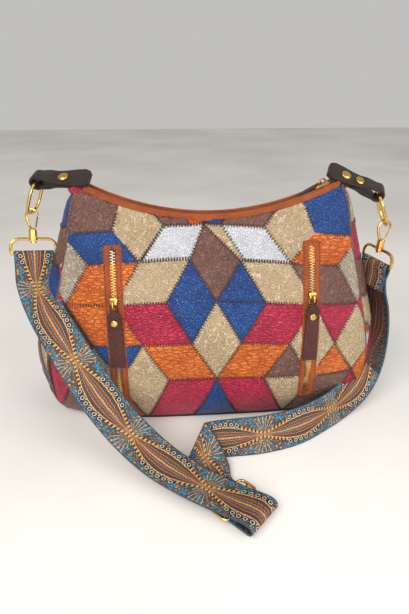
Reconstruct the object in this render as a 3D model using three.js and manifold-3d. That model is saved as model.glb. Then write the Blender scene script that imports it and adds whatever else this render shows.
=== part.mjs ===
import * as THREE from 'three';
import { mergeVertices } from 'three/addons/utils/BufferGeometryUtils.js';
import Module from 'manifold-3d';

const wasm = await Module();
wasm.setup();

// Bag body, millimetres
const BAG_SCALE_X = 1.0;
const ZIP_DIP = 217;
const ZIP_ARC_RADIUS = 260;
const CORNER_HALF_X = 126 * BAG_SCALE_X;
const LEATHER = 2.0;
const SEAM_GAP = 0.35;
const BASE_THICK = 2.2;
const BINDING_HIGH = 6;
const BINDING_THICK = 3.6;
const BINDING_ROOM = 0.9;
const STATIONS = [0, 0.06, 0.15, 0.3, 0.5, 0.75, 0.95, 1];
const HALF_WIDTH = [156, 164, 168, 166, 154, 137, 128, 126];
const HALF_DEPTH = [50, 57, 62, 62, 57, 40, 16, 9];
const SEAM_DEPTH = [28, 33, 36, 36, 30, 20, 11, 8];
const GUSSET_BULGE = [3, 8, 13, 17, 16, 12, 5, 2];

// Front pockets
const POCKET_X = 98;
const WINDOW_WIDE = 16;
const WINDOW_LOW = 0.125;
const WINDOW_HIGH = 0.85;
const CHAIN_WIDE = 5;
const TAPE_MARGIN = 6;
const TAPE_ROOM = 1.9;
const POUCH_ROOM = 0.7;
const SLIDER_T = 0.62;
const POCKET_ARC_Y = 272.1;
const POCKET_ARC_Z = 44.5;
const POCKET_ARC_RADIUS = 331.7;

// Hardware
const RING_WIRE = 1.6;
const RING_INNER_WIDE = 20;
const RING_INNER_HIGH = 32;
const HOOK_WIRE = 1.3;
const EYE_RADIUS = 6;
const EYE_CENTRE = 14.5;
const TUNNEL_RADIUS = 5.8;
const TAB_LEATHER = 2.4;

// Strap
const STRAP_WIDE = 38;
const STRAP_THICK = 1.6;
const BAR_ROOM = 1;

const COLOURS = {
  leather: [0x6e4b41, 0.55, 0],
  beige: [0xbea582, 0.6, 0],
  crimson: [0xb92d4b, 0.5, 0],
  blue: [0x234b8c, 0.5, 0],
  tan: [0xb45a28, 0.55, 0],
  darkBrown: [0x3c2a24, 0.6, 0],
  pull: [0x552d28, 0.5, 0],
  gold: [0xcda55a, 0.25, 1],
  lining: [0x2a2422, 0.9, 0],
  strap: [0x6b6f70, 0.85, 0],
  strapBack: [0x241c1a, 0.9, 0],
};

const group = new THREE.Group();
group.name = 'patchwork_shoulder_bag';

function vec(x, y, z) {
  return new THREE.Vector3(x, y, z);
}

function add(name, geometry, slot) {
  const [colour, roughness, metalness] = COLOURS[slot];
  const material = new THREE.MeshStandardMaterial({ color: colour, roughness, metalness });
  material.name = slot;
  geometry.computeVertexNormals();
  const mesh = new THREE.Mesh(geometry, material);
  mesh.name = name;
  group.add(mesh);
}

function meshFrom(points, triangles) {
  const geometry = new THREE.BufferGeometry();
  const flat = points.flatMap((p) => [p.x, p.y, p.z]);
  geometry.setAttribute('position', new THREE.Float32BufferAttribute(flat, 3));
  geometry.setIndex(triangles);
  return geometry;
}

function curve(stations, values) {
  const last = stations.length - 1;
  const slope = values.map((v, i) => {
    const a = Math.max(i - 1, 0);
    const b = Math.min(i + 1, last);
    return (values[b] - values[a]) / (stations[b] - stations[a]);
  });
  return (t) => {
    let i = 0;
    while (i < last - 1 && t > stations[i + 1]) i += 1;
    const h = stations[i + 1] - stations[i];
    const s = (t - stations[i]) / h;
    const s2 = s * s;
    const s3 = s2 * s;
    return (2 * s3 - 3 * s2 + 1) * values[i] + (s3 - 2 * s2 + s) * h * slope[i]
      + (3 * s2 - 2 * s3) * values[i + 1] + (s3 - s2) * h * slope[i + 1];
  };
}

const halfWidth = curve(STATIONS, HALF_WIDTH.map((v) => v * BAG_SCALE_X));
const halfDepth = curve(STATIONS, HALF_DEPTH);
const seamDepth = curve(STATIONS, SEAM_DEPTH);
const gussetBulge = curve(STATIONS, GUSSET_BULGE);

function zipLine(x) {
  return ZIP_DIP + ZIP_ARC_RADIUS - Math.sqrt(ZIP_ARC_RADIUS ** 2 - x ** 2);
}

const PANEL_FOOT = BASE_THICK + SEAM_GAP;

// Front skin: x across, t from foot to top edge, y from the seam depth to the middle depth
function frontPoint(x, t) {
  const u = Math.max(-1, Math.min(1, x / halfWidth(t)));
  const top = zipLine(u * CORNER_HALF_X) - BINDING_HIGH - BINDING_ROOM;
  const depth = seamDepth(t) + (halfDepth(t) - seamDepth(t)) * (1 - u ** 4);
  return vec(x, -depth, PANEL_FOOT + t * (top - PANEL_FOOT));
}

// Line of a pocket zip: a true arc along its middle, level with the panel
function pocketSkin(side) {
  return (x, t) => {
    const level = Math.min(WINDOW_HIGH, Math.max(WINDOW_LOW, t));
    const middle = frontPoint(side * POCKET_X, level);
    const out = vec(0, middle.y - POCKET_ARC_Y, middle.z - POCKET_ARC_Z);
    const lift = POCKET_ARC_RADIUS - out.length();
    return frontPoint(x, t).addScaledVector(out.normalize(), lift);
  };
}

function gussetPoint(side, w, t) {
  const top = zipLine(CORNER_HALF_X) - BINDING_HIGH - BINDING_ROOM;
  const x = side * (halfWidth(t) + gussetBulge(t) * (1 - w * w));
  return vec(x, w * seamDepth(t), PANEL_FOOT + t * (top - PANEL_FOOT));
}

function normalOf(fn, a, b) {
  const e = 0.004;
  const da = fn(a + e, b).sub(fn(a - e, b));
  const t1 = Math.min(b + e, 1);
  const t0 = Math.max(b - e, 0);
  const db = fn(a, t1).sub(fn(a, t0));
  return da.cross(db).normalize();
}

// Curved sheet between two offsets of a skin, with cells left out where keep says no
function sheet(skin, columns, rows, outer, inner, keep = () => true, flip = 1) {
  const points = [];
  const nu = columns.length;
  const index = (i, j, layer) => (j * nu + i) * 2 + layer;
  rows.forEach((t) => {
    columns.forEach((c) => {
      const p = skin(c, t);
      const n = normalOf(skin, c, t).multiplyScalar(flip);
      points.push(p.clone().addScaledVector(n, outer));
      points.push(p.clone().addScaledVector(n, inner));
    });
  });
  const triangles = [];
  const quad = (a, b, c, d) => {
    if (flip > 0) triangles.push(a, b, c, a, c, d);
    else triangles.push(a, c, b, a, d, c);
  };
  const has = (i, j) => i >= 0 && j >= 0 && i < nu - 1 && j < rows.length - 1 && keep(i, j);
  for (let j = 0; j < rows.length - 1; j += 1) {
    for (let i = 0; i < nu - 1; i += 1) {
      if (!has(i, j)) continue;
      quad(index(i, j, 0), index(i + 1, j, 0), index(i + 1, j + 1, 0), index(i, j + 1, 0));
      quad(index(i, j, 1), index(i, j + 1, 1), index(i + 1, j + 1, 1), index(i + 1, j, 1));
      if (!has(i, j - 1)) quad(index(i, j, 1), index(i + 1, j, 1), index(i + 1, j, 0), index(i, j, 0));
      if (!has(i, j + 1)) {
        quad(index(i, j + 1, 0), index(i + 1, j + 1, 0), index(i + 1, j + 1, 1), index(i, j + 1, 1));
      }
      if (!has(i - 1, j)) quad(index(i, j, 0), index(i, j + 1, 0), index(i, j + 1, 1), index(i, j, 1));
      if (!has(i + 1, j)) {
        quad(index(i + 1, j, 1), index(i + 1, j + 1, 1), index(i + 1, j + 1, 0), index(i + 1, j, 0));
      }
    }
  }
  const used = new Map();
  const kept = [];
  const remapped = triangles.map((k) => {
    if (!used.has(k)) {
      used.set(k, kept.length);
      kept.push(points[k]);
    }
    return used.get(k);
  });
  return meshFrom(kept, remapped);
}

function span(from, to, count) {
  return Array.from({ length: count + 1 }, (_, i) => from + (to - from) * i / count);
}

// Closed loft through rings of equal point count, ends closed with a middle point
function loft(rings, closed = false) {
  const n = rings[0].length;
  const points = rings.flat();
  const triangles = [];
  const count = closed ? rings.length : rings.length - 1;
  for (let k = 0; k < count; k += 1) {
    const a = k * n;
    const b = ((k + 1) % rings.length) * n;
    for (let i = 0; i < n; i += 1) {
      const j = (i + 1) % n;
      triangles.push(a + i, a + j, b + j, a + i, b + j, b + i);
    }
  }
  if (!closed) {
    const cap = (ring, start, reverse) => {
      const middle = ring.reduce((m, p) => m.add(p), vec(0, 0, 0)).multiplyScalar(1 / n);
      points.push(middle);
      const m = points.length - 1;
      for (let i = 0; i < n; i += 1) {
        const j = (i + 1) % n;
        if (reverse) triangles.push(m, start + j, start + i);
        else triangles.push(m, start + i, start + j);
      }
    };
    cap(rings[0], 0, true);
    cap(rings[rings.length - 1], (rings.length - 1) * n, false);
  }
  return outward(meshFrom(points, triangles));
}

function volumeOf(geometry) {
  const p = geometry.attributes.position;
  const index = geometry.index.array;
  let volume = 0;
  for (let k = 0; k < index.length; k += 3) {
    const [a, b, c] = [0, 1, 2].map((m) => vec().fromBufferAttribute(p, index[k + m]));
    volume += a.dot(b.cross(c)) / 6;
  }
  return volume;
}

function outward(geometry) {
  if (volumeOf(geometry) > 0) return geometry;
  const index = Array.from(geometry.index.array);
  for (let k = 0; k < index.length; k += 3) {
    [index[k + 1], index[k + 2]] = [index[k + 2], index[k + 1]];
  }
  geometry.setIndex(index);
  return geometry;
}

// Round wire along points, frames carried along the wire
function wire(path, radius, sides, closed = false, up = vec(0, 0, 1)) {
  const n = path.length;
  const rings = path.map((p, i) => {
    const before = closed ? path[(i + n - 1) % n] : path[Math.max(i - 1, 0)];
    const after = closed ? path[(i + 1) % n] : path[Math.min(i + 1, n - 1)];
    const along = after.clone().sub(before).normalize();
    const side = along.clone().cross(up).normalize();
    const lift = side.clone().cross(along);
    return span(0, sides - 1, sides - 1).map((k) => {
      const a = (k / sides) * Math.PI * 2;
      return p.clone().addScaledVector(side, Math.cos(a) * radius).addScaledVector(lift, Math.sin(a) * radius);
    });
  });
  return loft(rings, closed);
}

function toManifold(geometry) {
  let plain = geometry.clone();
  plain.deleteAttribute('normal');
  plain.deleteAttribute('uv');
  plain = mergeVertices(plain, 1e-4);
  return new wasm.Manifold(new wasm.Mesh({
    numProp: 3,
    vertProperties: new Float32Array(plain.attributes.position.array),
    triVerts: new Uint32Array(plain.index.array),
  }));
}

function fromManifold(solid) {
  const mesh = solid.getMesh();
  const geometry = new THREE.BufferGeometry();
  geometry.setAttribute('position', new THREE.Float32BufferAttribute(mesh.vertProperties, 3));
  geometry.setIndex(Array.from(mesh.triVerts));
  return geometry;
}

function union(pieces) {
  return pieces.map(toManifold).reduce((a, b) => a.add(b));
}

function placed(geometry, origin, x, y, z) {
  const matrix = new THREE.Matrix4().makeBasis(x, y, z).setPosition(origin);
  return geometry.clone().applyMatrix4(matrix);
}

// Stadium outline in the local X and Z directions
function stadium(wide, high, steps) {
  const r = wide / 2;
  const straight = high / 2 - r;
  const points = [];
  span(0, Math.PI, steps).forEach((a) => points.push(vec(Math.cos(a) * r, 0, straight + Math.sin(a) * r)));
  span(Math.PI, 2 * Math.PI, steps).forEach((a) => points.push(vec(Math.cos(a) * r, 0, -straight + Math.sin(a) * r)));
  return points;
}

// Flat strap along stations of two edges, thickness to both sides
function ribbon(stations, thick = STRAP_THICK, across = 2) {
  const mids = stations.map(([a, b]) => a.clone().add(b).multiplyScalar(0.5));
  const rings = stations.map(([a, b], i) => {
    const along = mids[Math.min(i + 1, mids.length - 1)].clone().sub(mids[Math.max(i - 1, 0)]);
    const n = b.clone().sub(a).cross(along).normalize().multiplyScalar(thick / 2);
    const near = span(0, 1, across).map((s) => a.clone().lerp(b, s).add(n));
    const far = span(1, 0, across).map((s) => a.clone().lerp(b, s).sub(n));
    return near.concat(far);
  });
  return loft(rings);
}

function smoothEdges(stations, count) {
  const a = new THREE.CatmullRomCurve3(stations.map((s) => s[0]), false, 'centripetal');
  const b = new THREE.CatmullRomCurve3(stations.map((s) => s[1]), false, 'centripetal');
  return span(0, 1, count).map((s) => [a.getPoint(s), b.getPoint(s)]);
}

// Body panels
const middleX = 110 * BAG_SCALE_X;
const windowLeft = POCKET_X - WINDOW_WIDE / 2;
const windowRight = POCKET_X + WINDOW_WIDE / 2;
const innerColumns = [0, 30, 60, windowLeft, windowRight, middleX + 2];
const sideShares = [0.4, 0.75, 0.93, 1];

function frontColumn(c, t) {
  const size = Math.abs(c);
  const last = innerColumns.length - 1;
  if (size <= last) {
    const low = Math.min(Math.floor(size), last - 1);
    const part = size - low;
    return Math.sign(c) * (innerColumns[low] * (1 - part) + innerColumns[low + 1] * part);
  }
  const shares = [0].concat(sideShares);
  const k = Math.min(Math.floor(size - last), shares.length - 2);
  const part = size - last - k;
  const share = shares[k] * (1 - part) + shares[k + 1] * part;
  const from = innerColumns[last];
  return Math.sign(c) * (from + share * (halfWidth(t) - from));
}

const columnCount = innerColumns.length - 1 + sideShares.length;
const panelColumns = span(-columnCount, columnCount, 2 * columnCount);
const panelRows = [0, 0.05, WINDOW_LOW, 0.21, 0.31, 0.41, 0.51, 0.62, 0.73, WINDOW_HIGH, 0.93, 1];
const skinFront = (c, t) => frontPoint(frontColumn(c, t), t);
const skinBack = (c, t) => skinFront(c, t).multiply(vec(1, -1, 1));
const windowColumn = 3;
const inWindow = (i, j) => {
  const c = i - columnCount;
  const column = c === windowColumn || c === -windowColumn - 1;
  const row = panelRows[j] >= WINDOW_LOW - 1e-6 && panelRows[j + 1] <= WINDOW_HIGH + 1e-6;
  return column && row;
};
add('front_panel', outward(sheet(skinFront, panelColumns, panelRows, 0, -LEATHER, (i, j) => !inWindow(i, j))), 'beige');
add('back_panel', outward(sheet(skinBack, panelColumns, panelRows, 0, -LEATHER, () => true, -1)), 'leather');

const gussetEdge = LEATHER + SEAM_GAP + 0.25;
[['left_gusset', -1], ['right_gusset', 1]].forEach(([name, side]) => {
  const skin = (w, t) => gussetPoint(side, w * (1 - gussetEdge / seamDepth(t)), t);
  add(name, outward(sheet(skin, span(-1, 1, 6), panelRows, 0, -LEATHER, () => true, side)), side < 0 ? 'crimson' : 'blue');
});

// Flat base, its rim following the foot of the panels
const rim = [];
span(-columnCount, columnCount, 2 * columnCount).forEach((c) => rim.push(skinFront(c, 0)));
span(-0.8, 0.8, 4).forEach((w) => rim.push(gussetPoint(1, w, 0)));
span(columnCount, -columnCount, 2 * columnCount).forEach((c) => rim.push(skinBack(c, 0)));
span(0.8, -0.8, 4).forEach((w) => rim.push(gussetPoint(-1, w, 0)));
const rimAt = (z) => rim.map((p) => vec(p.x, p.y, z));
add('base_panel', loft([rimAt(0), rimAt(BASE_THICK)]), 'leather');

// Lining cup, open at the top
const LINING_INSET = 10;
const LINING_TOP = 0.86;
const LINING_THICK = 0.9;
function liningRing(t, inset, z) {
  const points = [];
  const wide = halfWidth(t) - inset;
  const seam = Math.max(seamDepth(t) - inset, 3);
  const deep = Math.max(halfDepth(t) - inset, seam + 0.5);
  const bulge = gussetBulge(t) * 0.8;
  const rise = (x) => {
    const top = zipLine((x / wide) * CORNER_HALF_X) - BINDING_HIGH - SEAM_GAP;
    return z === undefined ? PANEL_FOOT + t * (top - PANEL_FOOT) : z;
  };
  span(-1, 1, 12).forEach((u) => points.push(vec(u * wide, -(seam + (deep - seam) * (1 - u ** 4)), rise(u * wide))));
  span(-0.5, 0.5, 2).forEach((w) => points.push(vec(wide + bulge * (1 - w * w), w * seam, rise(wide))));
  span(1, -1, 12).forEach((u) => points.push(vec(u * wide, seam + (deep - seam) * (1 - u ** 4), rise(u * wide))));
  span(0.5, -0.5, 2).forEach((w) => points.push(vec(-wide - bulge * (1 - w * w), w * seam, rise(wide))));
  return points;
}
const liningFloor = BASE_THICK + SEAM_GAP;
const liningSteps = [0.08, 0.2, 0.35, 0.5, 0.68, LINING_TOP];
const liningRings = [liningRing(0, LINING_INSET, liningFloor)];
liningSteps.forEach((t) => liningRings.push(liningRing(t, LINING_INSET)));
liningSteps.slice().reverse().forEach((t) => liningRings.push(liningRing(t, LINING_INSET + LINING_THICK)));
liningRings.push(liningRing(0, LINING_INSET + LINING_THICK, liningFloor + LINING_THICK));
add('lining', loft(liningRings), 'lining');

// Front pocket zips
const zipTop = 0.2;
const PULL_LONG = 62;
const PULL_THICK = 1.8;
const PULL_REST = 0.9;
const SLIDER_HIGH = 1.5;
const BAIL_HIGH = 7.6;
const EYELET_UP = 4.8;
const EYELET_BACK = 3.79;
const EYELET = 2.45;

// Lean at which the hanging pull comes to rest on the panel below the slider
function pullLean(x0, rest, up, out) {
  const across = up.clone().cross(out);
  let best = 0;
  span(0, 0.6, 120).forEach((angle) => {
    const leafUp = up.clone().applyAxisAngle(across, angle);
    const leafOut = out.clone().applyAxisAngle(across, angle);
    const clear = span(8, PULL_LONG, 12).every((down) => {
      const back = rest.clone().addScaledVector(leafUp, -down).addScaledVector(leafOut, -PULL_THICK / 2 - PULL_REST);
      let low = 0;
      let high = 1;
      for (let k = 0; k < 30; k += 1) {
        const t = (low + high) / 2;
        if (frontPoint(x0 * 0.92, t).z < back.z) low = t;
        else high = t;
      }
      return back.y < frontPoint(x0 * 0.92, low).y;
    });
    if (clear && angle - best < 0.0051) best = angle;
  });
  return best;
}

function pocket(name, side) {
  const x0 = side * POCKET_X;
  const tapeHalf = WINDOW_WIDE / 2 + TAPE_MARGIN;
  const inside = panelRows.filter((t) => t > WINDOW_LOW - 1e-6 && t < WINDOW_HIGH + 1e-6);
  const tapeRows = [WINDOW_LOW - 0.025, ...inside, WINDOW_HIGH + 0.025];
  const tapeTop = -LEATHER - TAPE_ROOM;
  const skin = pocketSkin(side);
  const tape = sheet(skin, span(x0 - tapeHalf, x0 + tapeHalf, 2), tapeRows, tapeTop, tapeTop - 1.3);
  add(`${name}_zip_tape`, outward(tape), 'tan');
  const bagTop = tapeTop - 1.3 - POUCH_ROOM;
  const bagHalf = tapeHalf + 10;
  const bagRows = [WINDOW_LOW - 0.05, ...inside];
  const pouch = sheet(skin, span(x0 - bagHalf, x0 + bagHalf, 3), bagRows, bagTop, bagTop - 1.4);
  add(`${name}_pocket_bag`, outward(pouch), 'lining');
  const chainRows = inside.slice();
  chainRows[0] += 0.012;
  chainRows[chainRows.length - 1] -= 0.012;
  const chainHalf = CHAIN_WIDE / 2;
  const chain = sheet(skin, [x0 - chainHalf, x0 + chainHalf], chainRows, zipTop, tapeTop + SEAM_GAP);
  add(`${name}_zip_chain`, outward(chain), 'gold');

  const seat = skin(x0, SLIDER_T);
  const out = normalOf(skin, x0, SLIDER_T);
  const across = vec(1, 0, 0).addScaledVector(out, -out.x).normalize();
  const up = out.clone().cross(across).normalize();
  const base = seat.clone().addScaledVector(out, zipTop + SEAM_GAP + 0.15);
  const body = new THREE.Shape();
  body.moveTo(-3, -8);
  body.lineTo(3, -8);
  body.lineTo(4.6, 5);
  body.lineTo(2.2, 6.5);
  body.lineTo(-2.2, 6.5);
  body.lineTo(-4.6, 5);
  body.closePath();
  const block = new THREE.ExtrudeGeometry(body, { depth: SLIDER_HIGH, bevelEnabled: false });
  const bail = wire(
    [vec(0, 5.6, 0.8), vec(0, 1.9, BAIL_HIGH), vec(0, -1.9, BAIL_HIGH), vec(0, -6.5, 0.8)],
    0.8,
    8,
    false,
    vec(1, 0, 0),
  );
  add(`${name}_slider`, placed(fromManifold(union([block, bail])), base, across, up, out), 'gold');

  const outline = new THREE.Shape();
  outline.moveTo(-3.3, 3.2);
  outline.lineTo(-3.3, -3.4);
  outline.lineTo(-6.6, -7);
  outline.lineTo(-7.8, -PULL_LONG + 1.5);
  outline.lineTo(-6.6, -PULL_LONG);
  outline.lineTo(6.6, -PULL_LONG);
  outline.lineTo(7.8, -PULL_LONG + 1.5);
  outline.lineTo(6.6, -7);
  outline.lineTo(3.3, -3.4);
  outline.lineTo(3.3, 3.2);
  outline.closePath();
  const eyelet = new THREE.Path();
  eyelet.absarc(0, 0, EYELET, 0, Math.PI * 2, true);
  outline.holes.push(eyelet);
  const leaf = new THREE.ExtrudeGeometry(outline, { depth: PULL_THICK, bevelEnabled: false, curveSegments: 6 });
  leaf.translate(0, 0, -PULL_THICK / 2);
  const rest = base.clone().addScaledVector(out, EYELET_UP).addScaledVector(up, -EYELET_BACK);
  const lean = pullLean(x0, rest, up, out);
  const leafUp = up.clone().applyAxisAngle(across, lean);
  const leafOut = out.clone().applyAxisAngle(across, lean);
  add(`${name}_pull`, placed(leaf, rest, across, leafUp, leafOut), 'pull');
  const stud = new THREE.LatheGeometry(
    [[0, 0], [3.4, 0], [3.3, 0.7], [2.4, 1.3], [0, 1.5]].map(([r, h]) => new THREE.Vector2(r, h)),
    14,
  );
  const studAt = rest.clone().addScaledVector(leafUp, -15).addScaledVector(leafOut, PULL_THICK / 2 + 0.3);
  add(`${name}_pull_rivet`, placed(stud, studAt, leafUp, leafOut, leafUp.clone().cross(leafOut)), 'gold');
}
pocket('left', -1);
pocket('right', 1);

// Top closure: two bindings, two tapes, chain, slider and pull
const ZIP_HALF = CORNER_HALF_X - 0.5;
function along(name, yFrom, yTo, low, high, slot, half = ZIP_HALF, count = 20) {
  const rings = span(-half, half, count).map((x) => {
    const z = zipLine(x);
    return [vec(x, yFrom, z + low), vec(x, yTo, z + low), vec(x, yTo, z + high), vec(x, yFrom, z + high)];
  });
  add(name, loft(rings), slot);
}
const bindOuter = 9;
const bindInner = bindOuter - BINDING_THICK;
const tapeOuter = bindInner - SEAM_GAP;
const chainHalfTop = 2.6;
const tapeInner = chainHalfTop + SEAM_GAP;
along('front_binding', -bindOuter, -bindInner, -BINDING_HIGH, 0, 'tan');
along('back_binding', bindInner, bindOuter, -BINDING_HIGH, 0, 'tan');
along('top_zip_front_tape', -tapeOuter, -tapeInner, -4.2, -2.8, 'tan');
along('top_zip_back_tape', tapeInner, tapeOuter, -4.2, -2.8, 'tan');
along('top_zip_chain', -chainHalfTop, chainHalfTop, -4.6, -1.6, 'gold');

const TOP_SLIDER_X = 112;
const slope = TOP_SLIDER_X / Math.sqrt(ZIP_ARC_RADIUS ** 2 - TOP_SLIDER_X ** 2);
const zipAlong = vec(1, 0, slope).normalize();
const zipOut = vec(-slope, 0, 1).normalize();
const zipSide = vec(0, 1, 0);
const topSeat = vec(TOP_SLIDER_X, 0, zipLine(TOP_SLIDER_X)).addScaledVector(zipOut, -1.6 + SEAM_GAP + 0.15);
const topBody = new THREE.Shape();
topBody.moveTo(-8, -3);
topBody.lineTo(5, -4.2);
topBody.lineTo(6.5, -2);
topBody.lineTo(6.5, 2);
topBody.lineTo(5, 4.2);
topBody.lineTo(-8, 3);
topBody.closePath();
const topBlock = new THREE.ExtrudeGeometry(topBody, { depth: SLIDER_HIGH, bevelEnabled: false });
const topBail = wire(
  [vec(5.6, 0, 0.8), vec(1.9, 0, BAIL_HIGH), vec(-1.9, 0, BAIL_HIGH), vec(-6.5, 0, 0.8)],
  0.8,
  8,
  false,
  vec(0, 1, 0),
);
add('top_slider', placed(fromManifold(union([topBlock, topBail])), topSeat, zipAlong, zipSide, zipOut), 'gold');
const plate = new THREE.Shape();
plate.absarc(0, 0, 2.9, -1, 1, false);
plate.lineTo(-18, 2.9);
plate.absarc(-20, 0, 3, Math.PI / 2, -Math.PI / 2 + 2 * Math.PI, false);
plate.closePath();
const plateHole = new THREE.Path();
plateHole.absarc(0, 0, 2.1, 0, Math.PI * 2, true);
plate.holes.push(plateHole);
const plateSolid = new THREE.ExtrudeGeometry(plate, { depth: 1.2, bevelEnabled: false, curveSegments: 6 });
plateSolid.translate(0, 0, -0.6);
const plateAt = topSeat.clone().addScaledVector(zipOut, EYELET_UP).addScaledVector(zipAlong, -EYELET_BACK);
const plateDown = 0.08;
const plateAlong = zipAlong.clone().addScaledVector(zipOut, plateDown).normalize();
const plateOut = zipOut.clone().addScaledVector(zipAlong, -plateDown).normalize();
add('top_pull', placed(plateSolid, plateAt, plateAlong, zipSide, plateOut), 'gold');

// Side hardware: tab, ring, hook, gate, strap base
const EYE_SEAT = EYE_CENTRE + EYE_RADIUS - HOOK_WIRE - RING_WIRE - 0.7;
const RING_DROP = RING_INNER_HIGH + 2 * RING_WIRE;
const BASE_BAR = -24;

function tab(name, seat, tunnel, rivets) {
  const run = tunnel.clone().sub(seat);
  const length = run.length();
  const dir = run.clone().normalize();
  const across = vec(0, 0, 1).cross(dir).normalize();
  const up = dir.clone().cross(across).normalize();
  const outerR = TUNNEL_RADIUS + TAB_LEATHER;
  const shape = new THREE.Shape();
  shape.moveTo(0, -TAB_LEATHER - 0.2);
  shape.lineTo(length - outerR - 2, -TAB_LEATHER - 0.2);
  shape.absarc(length, 0, outerR, -2.2, 2.2, false);
  shape.lineTo(length - outerR - 2, TAB_LEATHER + 0.2);
  shape.lineTo(0, TAB_LEATHER + 0.2);
  shape.closePath();
  const bore = new THREE.Path();
  bore.absarc(length, 0, TUNNEL_RADIUS, 0, Math.PI * 2, true);
  shape.holes.push(bore);
  const solid = new THREE.ExtrudeGeometry(shape, { depth: 1, bevelEnabled: false, curveSegments: 10 });
  solid.translate(0, 0, -0.5);
  const p = solid.attributes.position;
  for (let k = 0; k < p.count; k += 1) {
    const share = Math.min(1, Math.max(0, p.getX(k) / (length - 8)));
    p.setZ(k, p.getZ(k) * (24 - 9 * share));
  }
  add(name, placed(solid, seat, dir, up, dir.clone().cross(up)), 'darkBrown');
  rivets.forEach(([label, at, off]) => {
    const stud = new THREE.LatheGeometry(
      [[0, 0], [4, 0], [3.9, 0.7], [2.9, 1.4], [0, 1.7]].map(([r, h]) => new THREE.Vector2(r, h)),
      16,
    );
    const spot = seat.clone().addScaledVector(dir, at).addScaledVector(up, TAB_LEATHER + 0.2 + SEAM_GAP)
      .addScaledVector(across, off);
    add(label, placed(stud, spot, dir, up, dir.clone().cross(up)), 'gold');
  });
  return across;
}

function ring(name, tunnel, axis, hang) {
  const path = stadium(RING_INNER_WIDE + 2 * RING_WIRE, RING_DROP, 8);
  const facing = axis.clone().cross(hang).normalize();
  const centre = tunnel.clone().addScaledVector(hang, RING_DROP / 2 + 0.05);
  const solid = wire(path, RING_WIRE, 8, true, vec(0, 1, 0));
  add(name, placed(solid, centre, axis, facing, hang.clone().negate()), 'gold');
  return tunnel.clone().addScaledVector(hang, RING_DROP + 0.05);
}

const swivelPin = 1.6;
function hook(name, origin, facing, z) {
  const y = z.clone().cross(facing).normalize();
  const across = y.clone().cross(z);
  const path = [vec(-0.8, 0, 0), vec(-3.4, 0, 4.2), vec(-5.3, 0, 9.4)];
  span(Math.PI, -0.12, 7).forEach((a) => {
    path.push(vec(Math.cos(a) * EYE_RADIUS, 0, EYE_CENTRE + Math.sin(a) * EYE_RADIUS));
  });
  const loop = wire(path, HOOK_WIRE, 7, false, vec(0, 1, 0));
  const spindle = [[0, 1.6], [2.6, 1.6], [3.9, 0.2], [3.9, -7],
    [swivelPin, -7], [swivelPin, -11.4], [3, -11.4], [3, -13], [0, -13]];
  const barrel = new THREE.LatheGeometry(spindle.map(([r, h]) => new THREE.Vector2(r, h)), 12);
  barrel.rotateX(Math.PI / 2);
  add(`${name}_hook`, placed(fromManifold(union([loop, outward(mergeVertices(stripped(barrel), 1e-4))])), origin, across, y, z), 'gold');
  const gate = wire([vec(3.5, 0, 2.5), vec(6, 0, 13.15)], 0.9, 6, false, vec(0, 1, 0));
  add(`${name}_gate`, placed(gate, origin, across, y, z), 'gold');
}

function stripped(geometry) {
  geometry.deleteAttribute('normal');
  geometry.deleteAttribute('uv');
  return geometry;
}

const BAR_HALF = STRAP_WIDE / 2 + BAR_ROOM + RING_WIRE;
function strapBase(name, origin, facing, z) {
  const y = z.clone().cross(facing).normalize();
  const across = y.clone().cross(z);
  const path = [];
  const corner = (cx, cz, r, from) => {
    span(from, from + Math.PI / 2, 3).forEach((a) => path.push(vec(cx + Math.cos(a) * r, 0, cz + Math.sin(a) * r)));
  };
  corner(BAR_HALF - 8, -9 - 8, 8, 0);
  corner(-BAR_HALF + 8, -9 - 8, 8, Math.PI / 2);
  corner(-BAR_HALF + 3, BASE_BAR + 3, 3, Math.PI);
  corner(BAR_HALF - 3, BASE_BAR + 3, 3, 1.5 * Math.PI);
  const loop = wire(path, RING_WIRE, 8, true, vec(0, 1, 0));
  const collar = new THREE.CylinderGeometry(4.2, 4.2, 3.2, 10).rotateX(Math.PI / 2).translate(0, 0, -9);
  const bore = new THREE.CylinderGeometry(swivelPin + 0.4, swivelPin + 0.4, 6, 10).rotateX(Math.PI / 2).translate(0, 0, -9);
  const solid = union([loop, collar]).subtract(toManifold(bore));
  add(name, placed(fromManifold(solid), origin, across, y, z), 'gold');
}

// Strap end folded over the bar and sewn, seen from the side in n and z
const SEWN = STRAP_THICK / 2 + 0.3;
const FOLD = RING_WIRE + 0.35 + STRAP_THICK / 2;
function strapEnd(name, bar, across, front, z, tail) {
  const path = [[-SEWN, -tail], [-SEWN, -12], [-FOLD, -3.5]];
  span(Math.PI, 0, 6).forEach((a) => path.push([Math.cos(a) * FOLD, Math.sin(a) * FOLD]));
  path.push([FOLD, -3.5]);
  path.push([SEWN, -12]);
  const half = STRAP_WIDE / 2;
  const stations = path.map(([n, h]) => {
    const mid = bar.clone().addScaledVector(front, n).addScaledVector(z, h);
    return [mid.clone().addScaledVector(across, -half), mid.clone().addScaledVector(across, half)];
  });
  add(name, ribbon(stations), 'strap');
}

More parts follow.
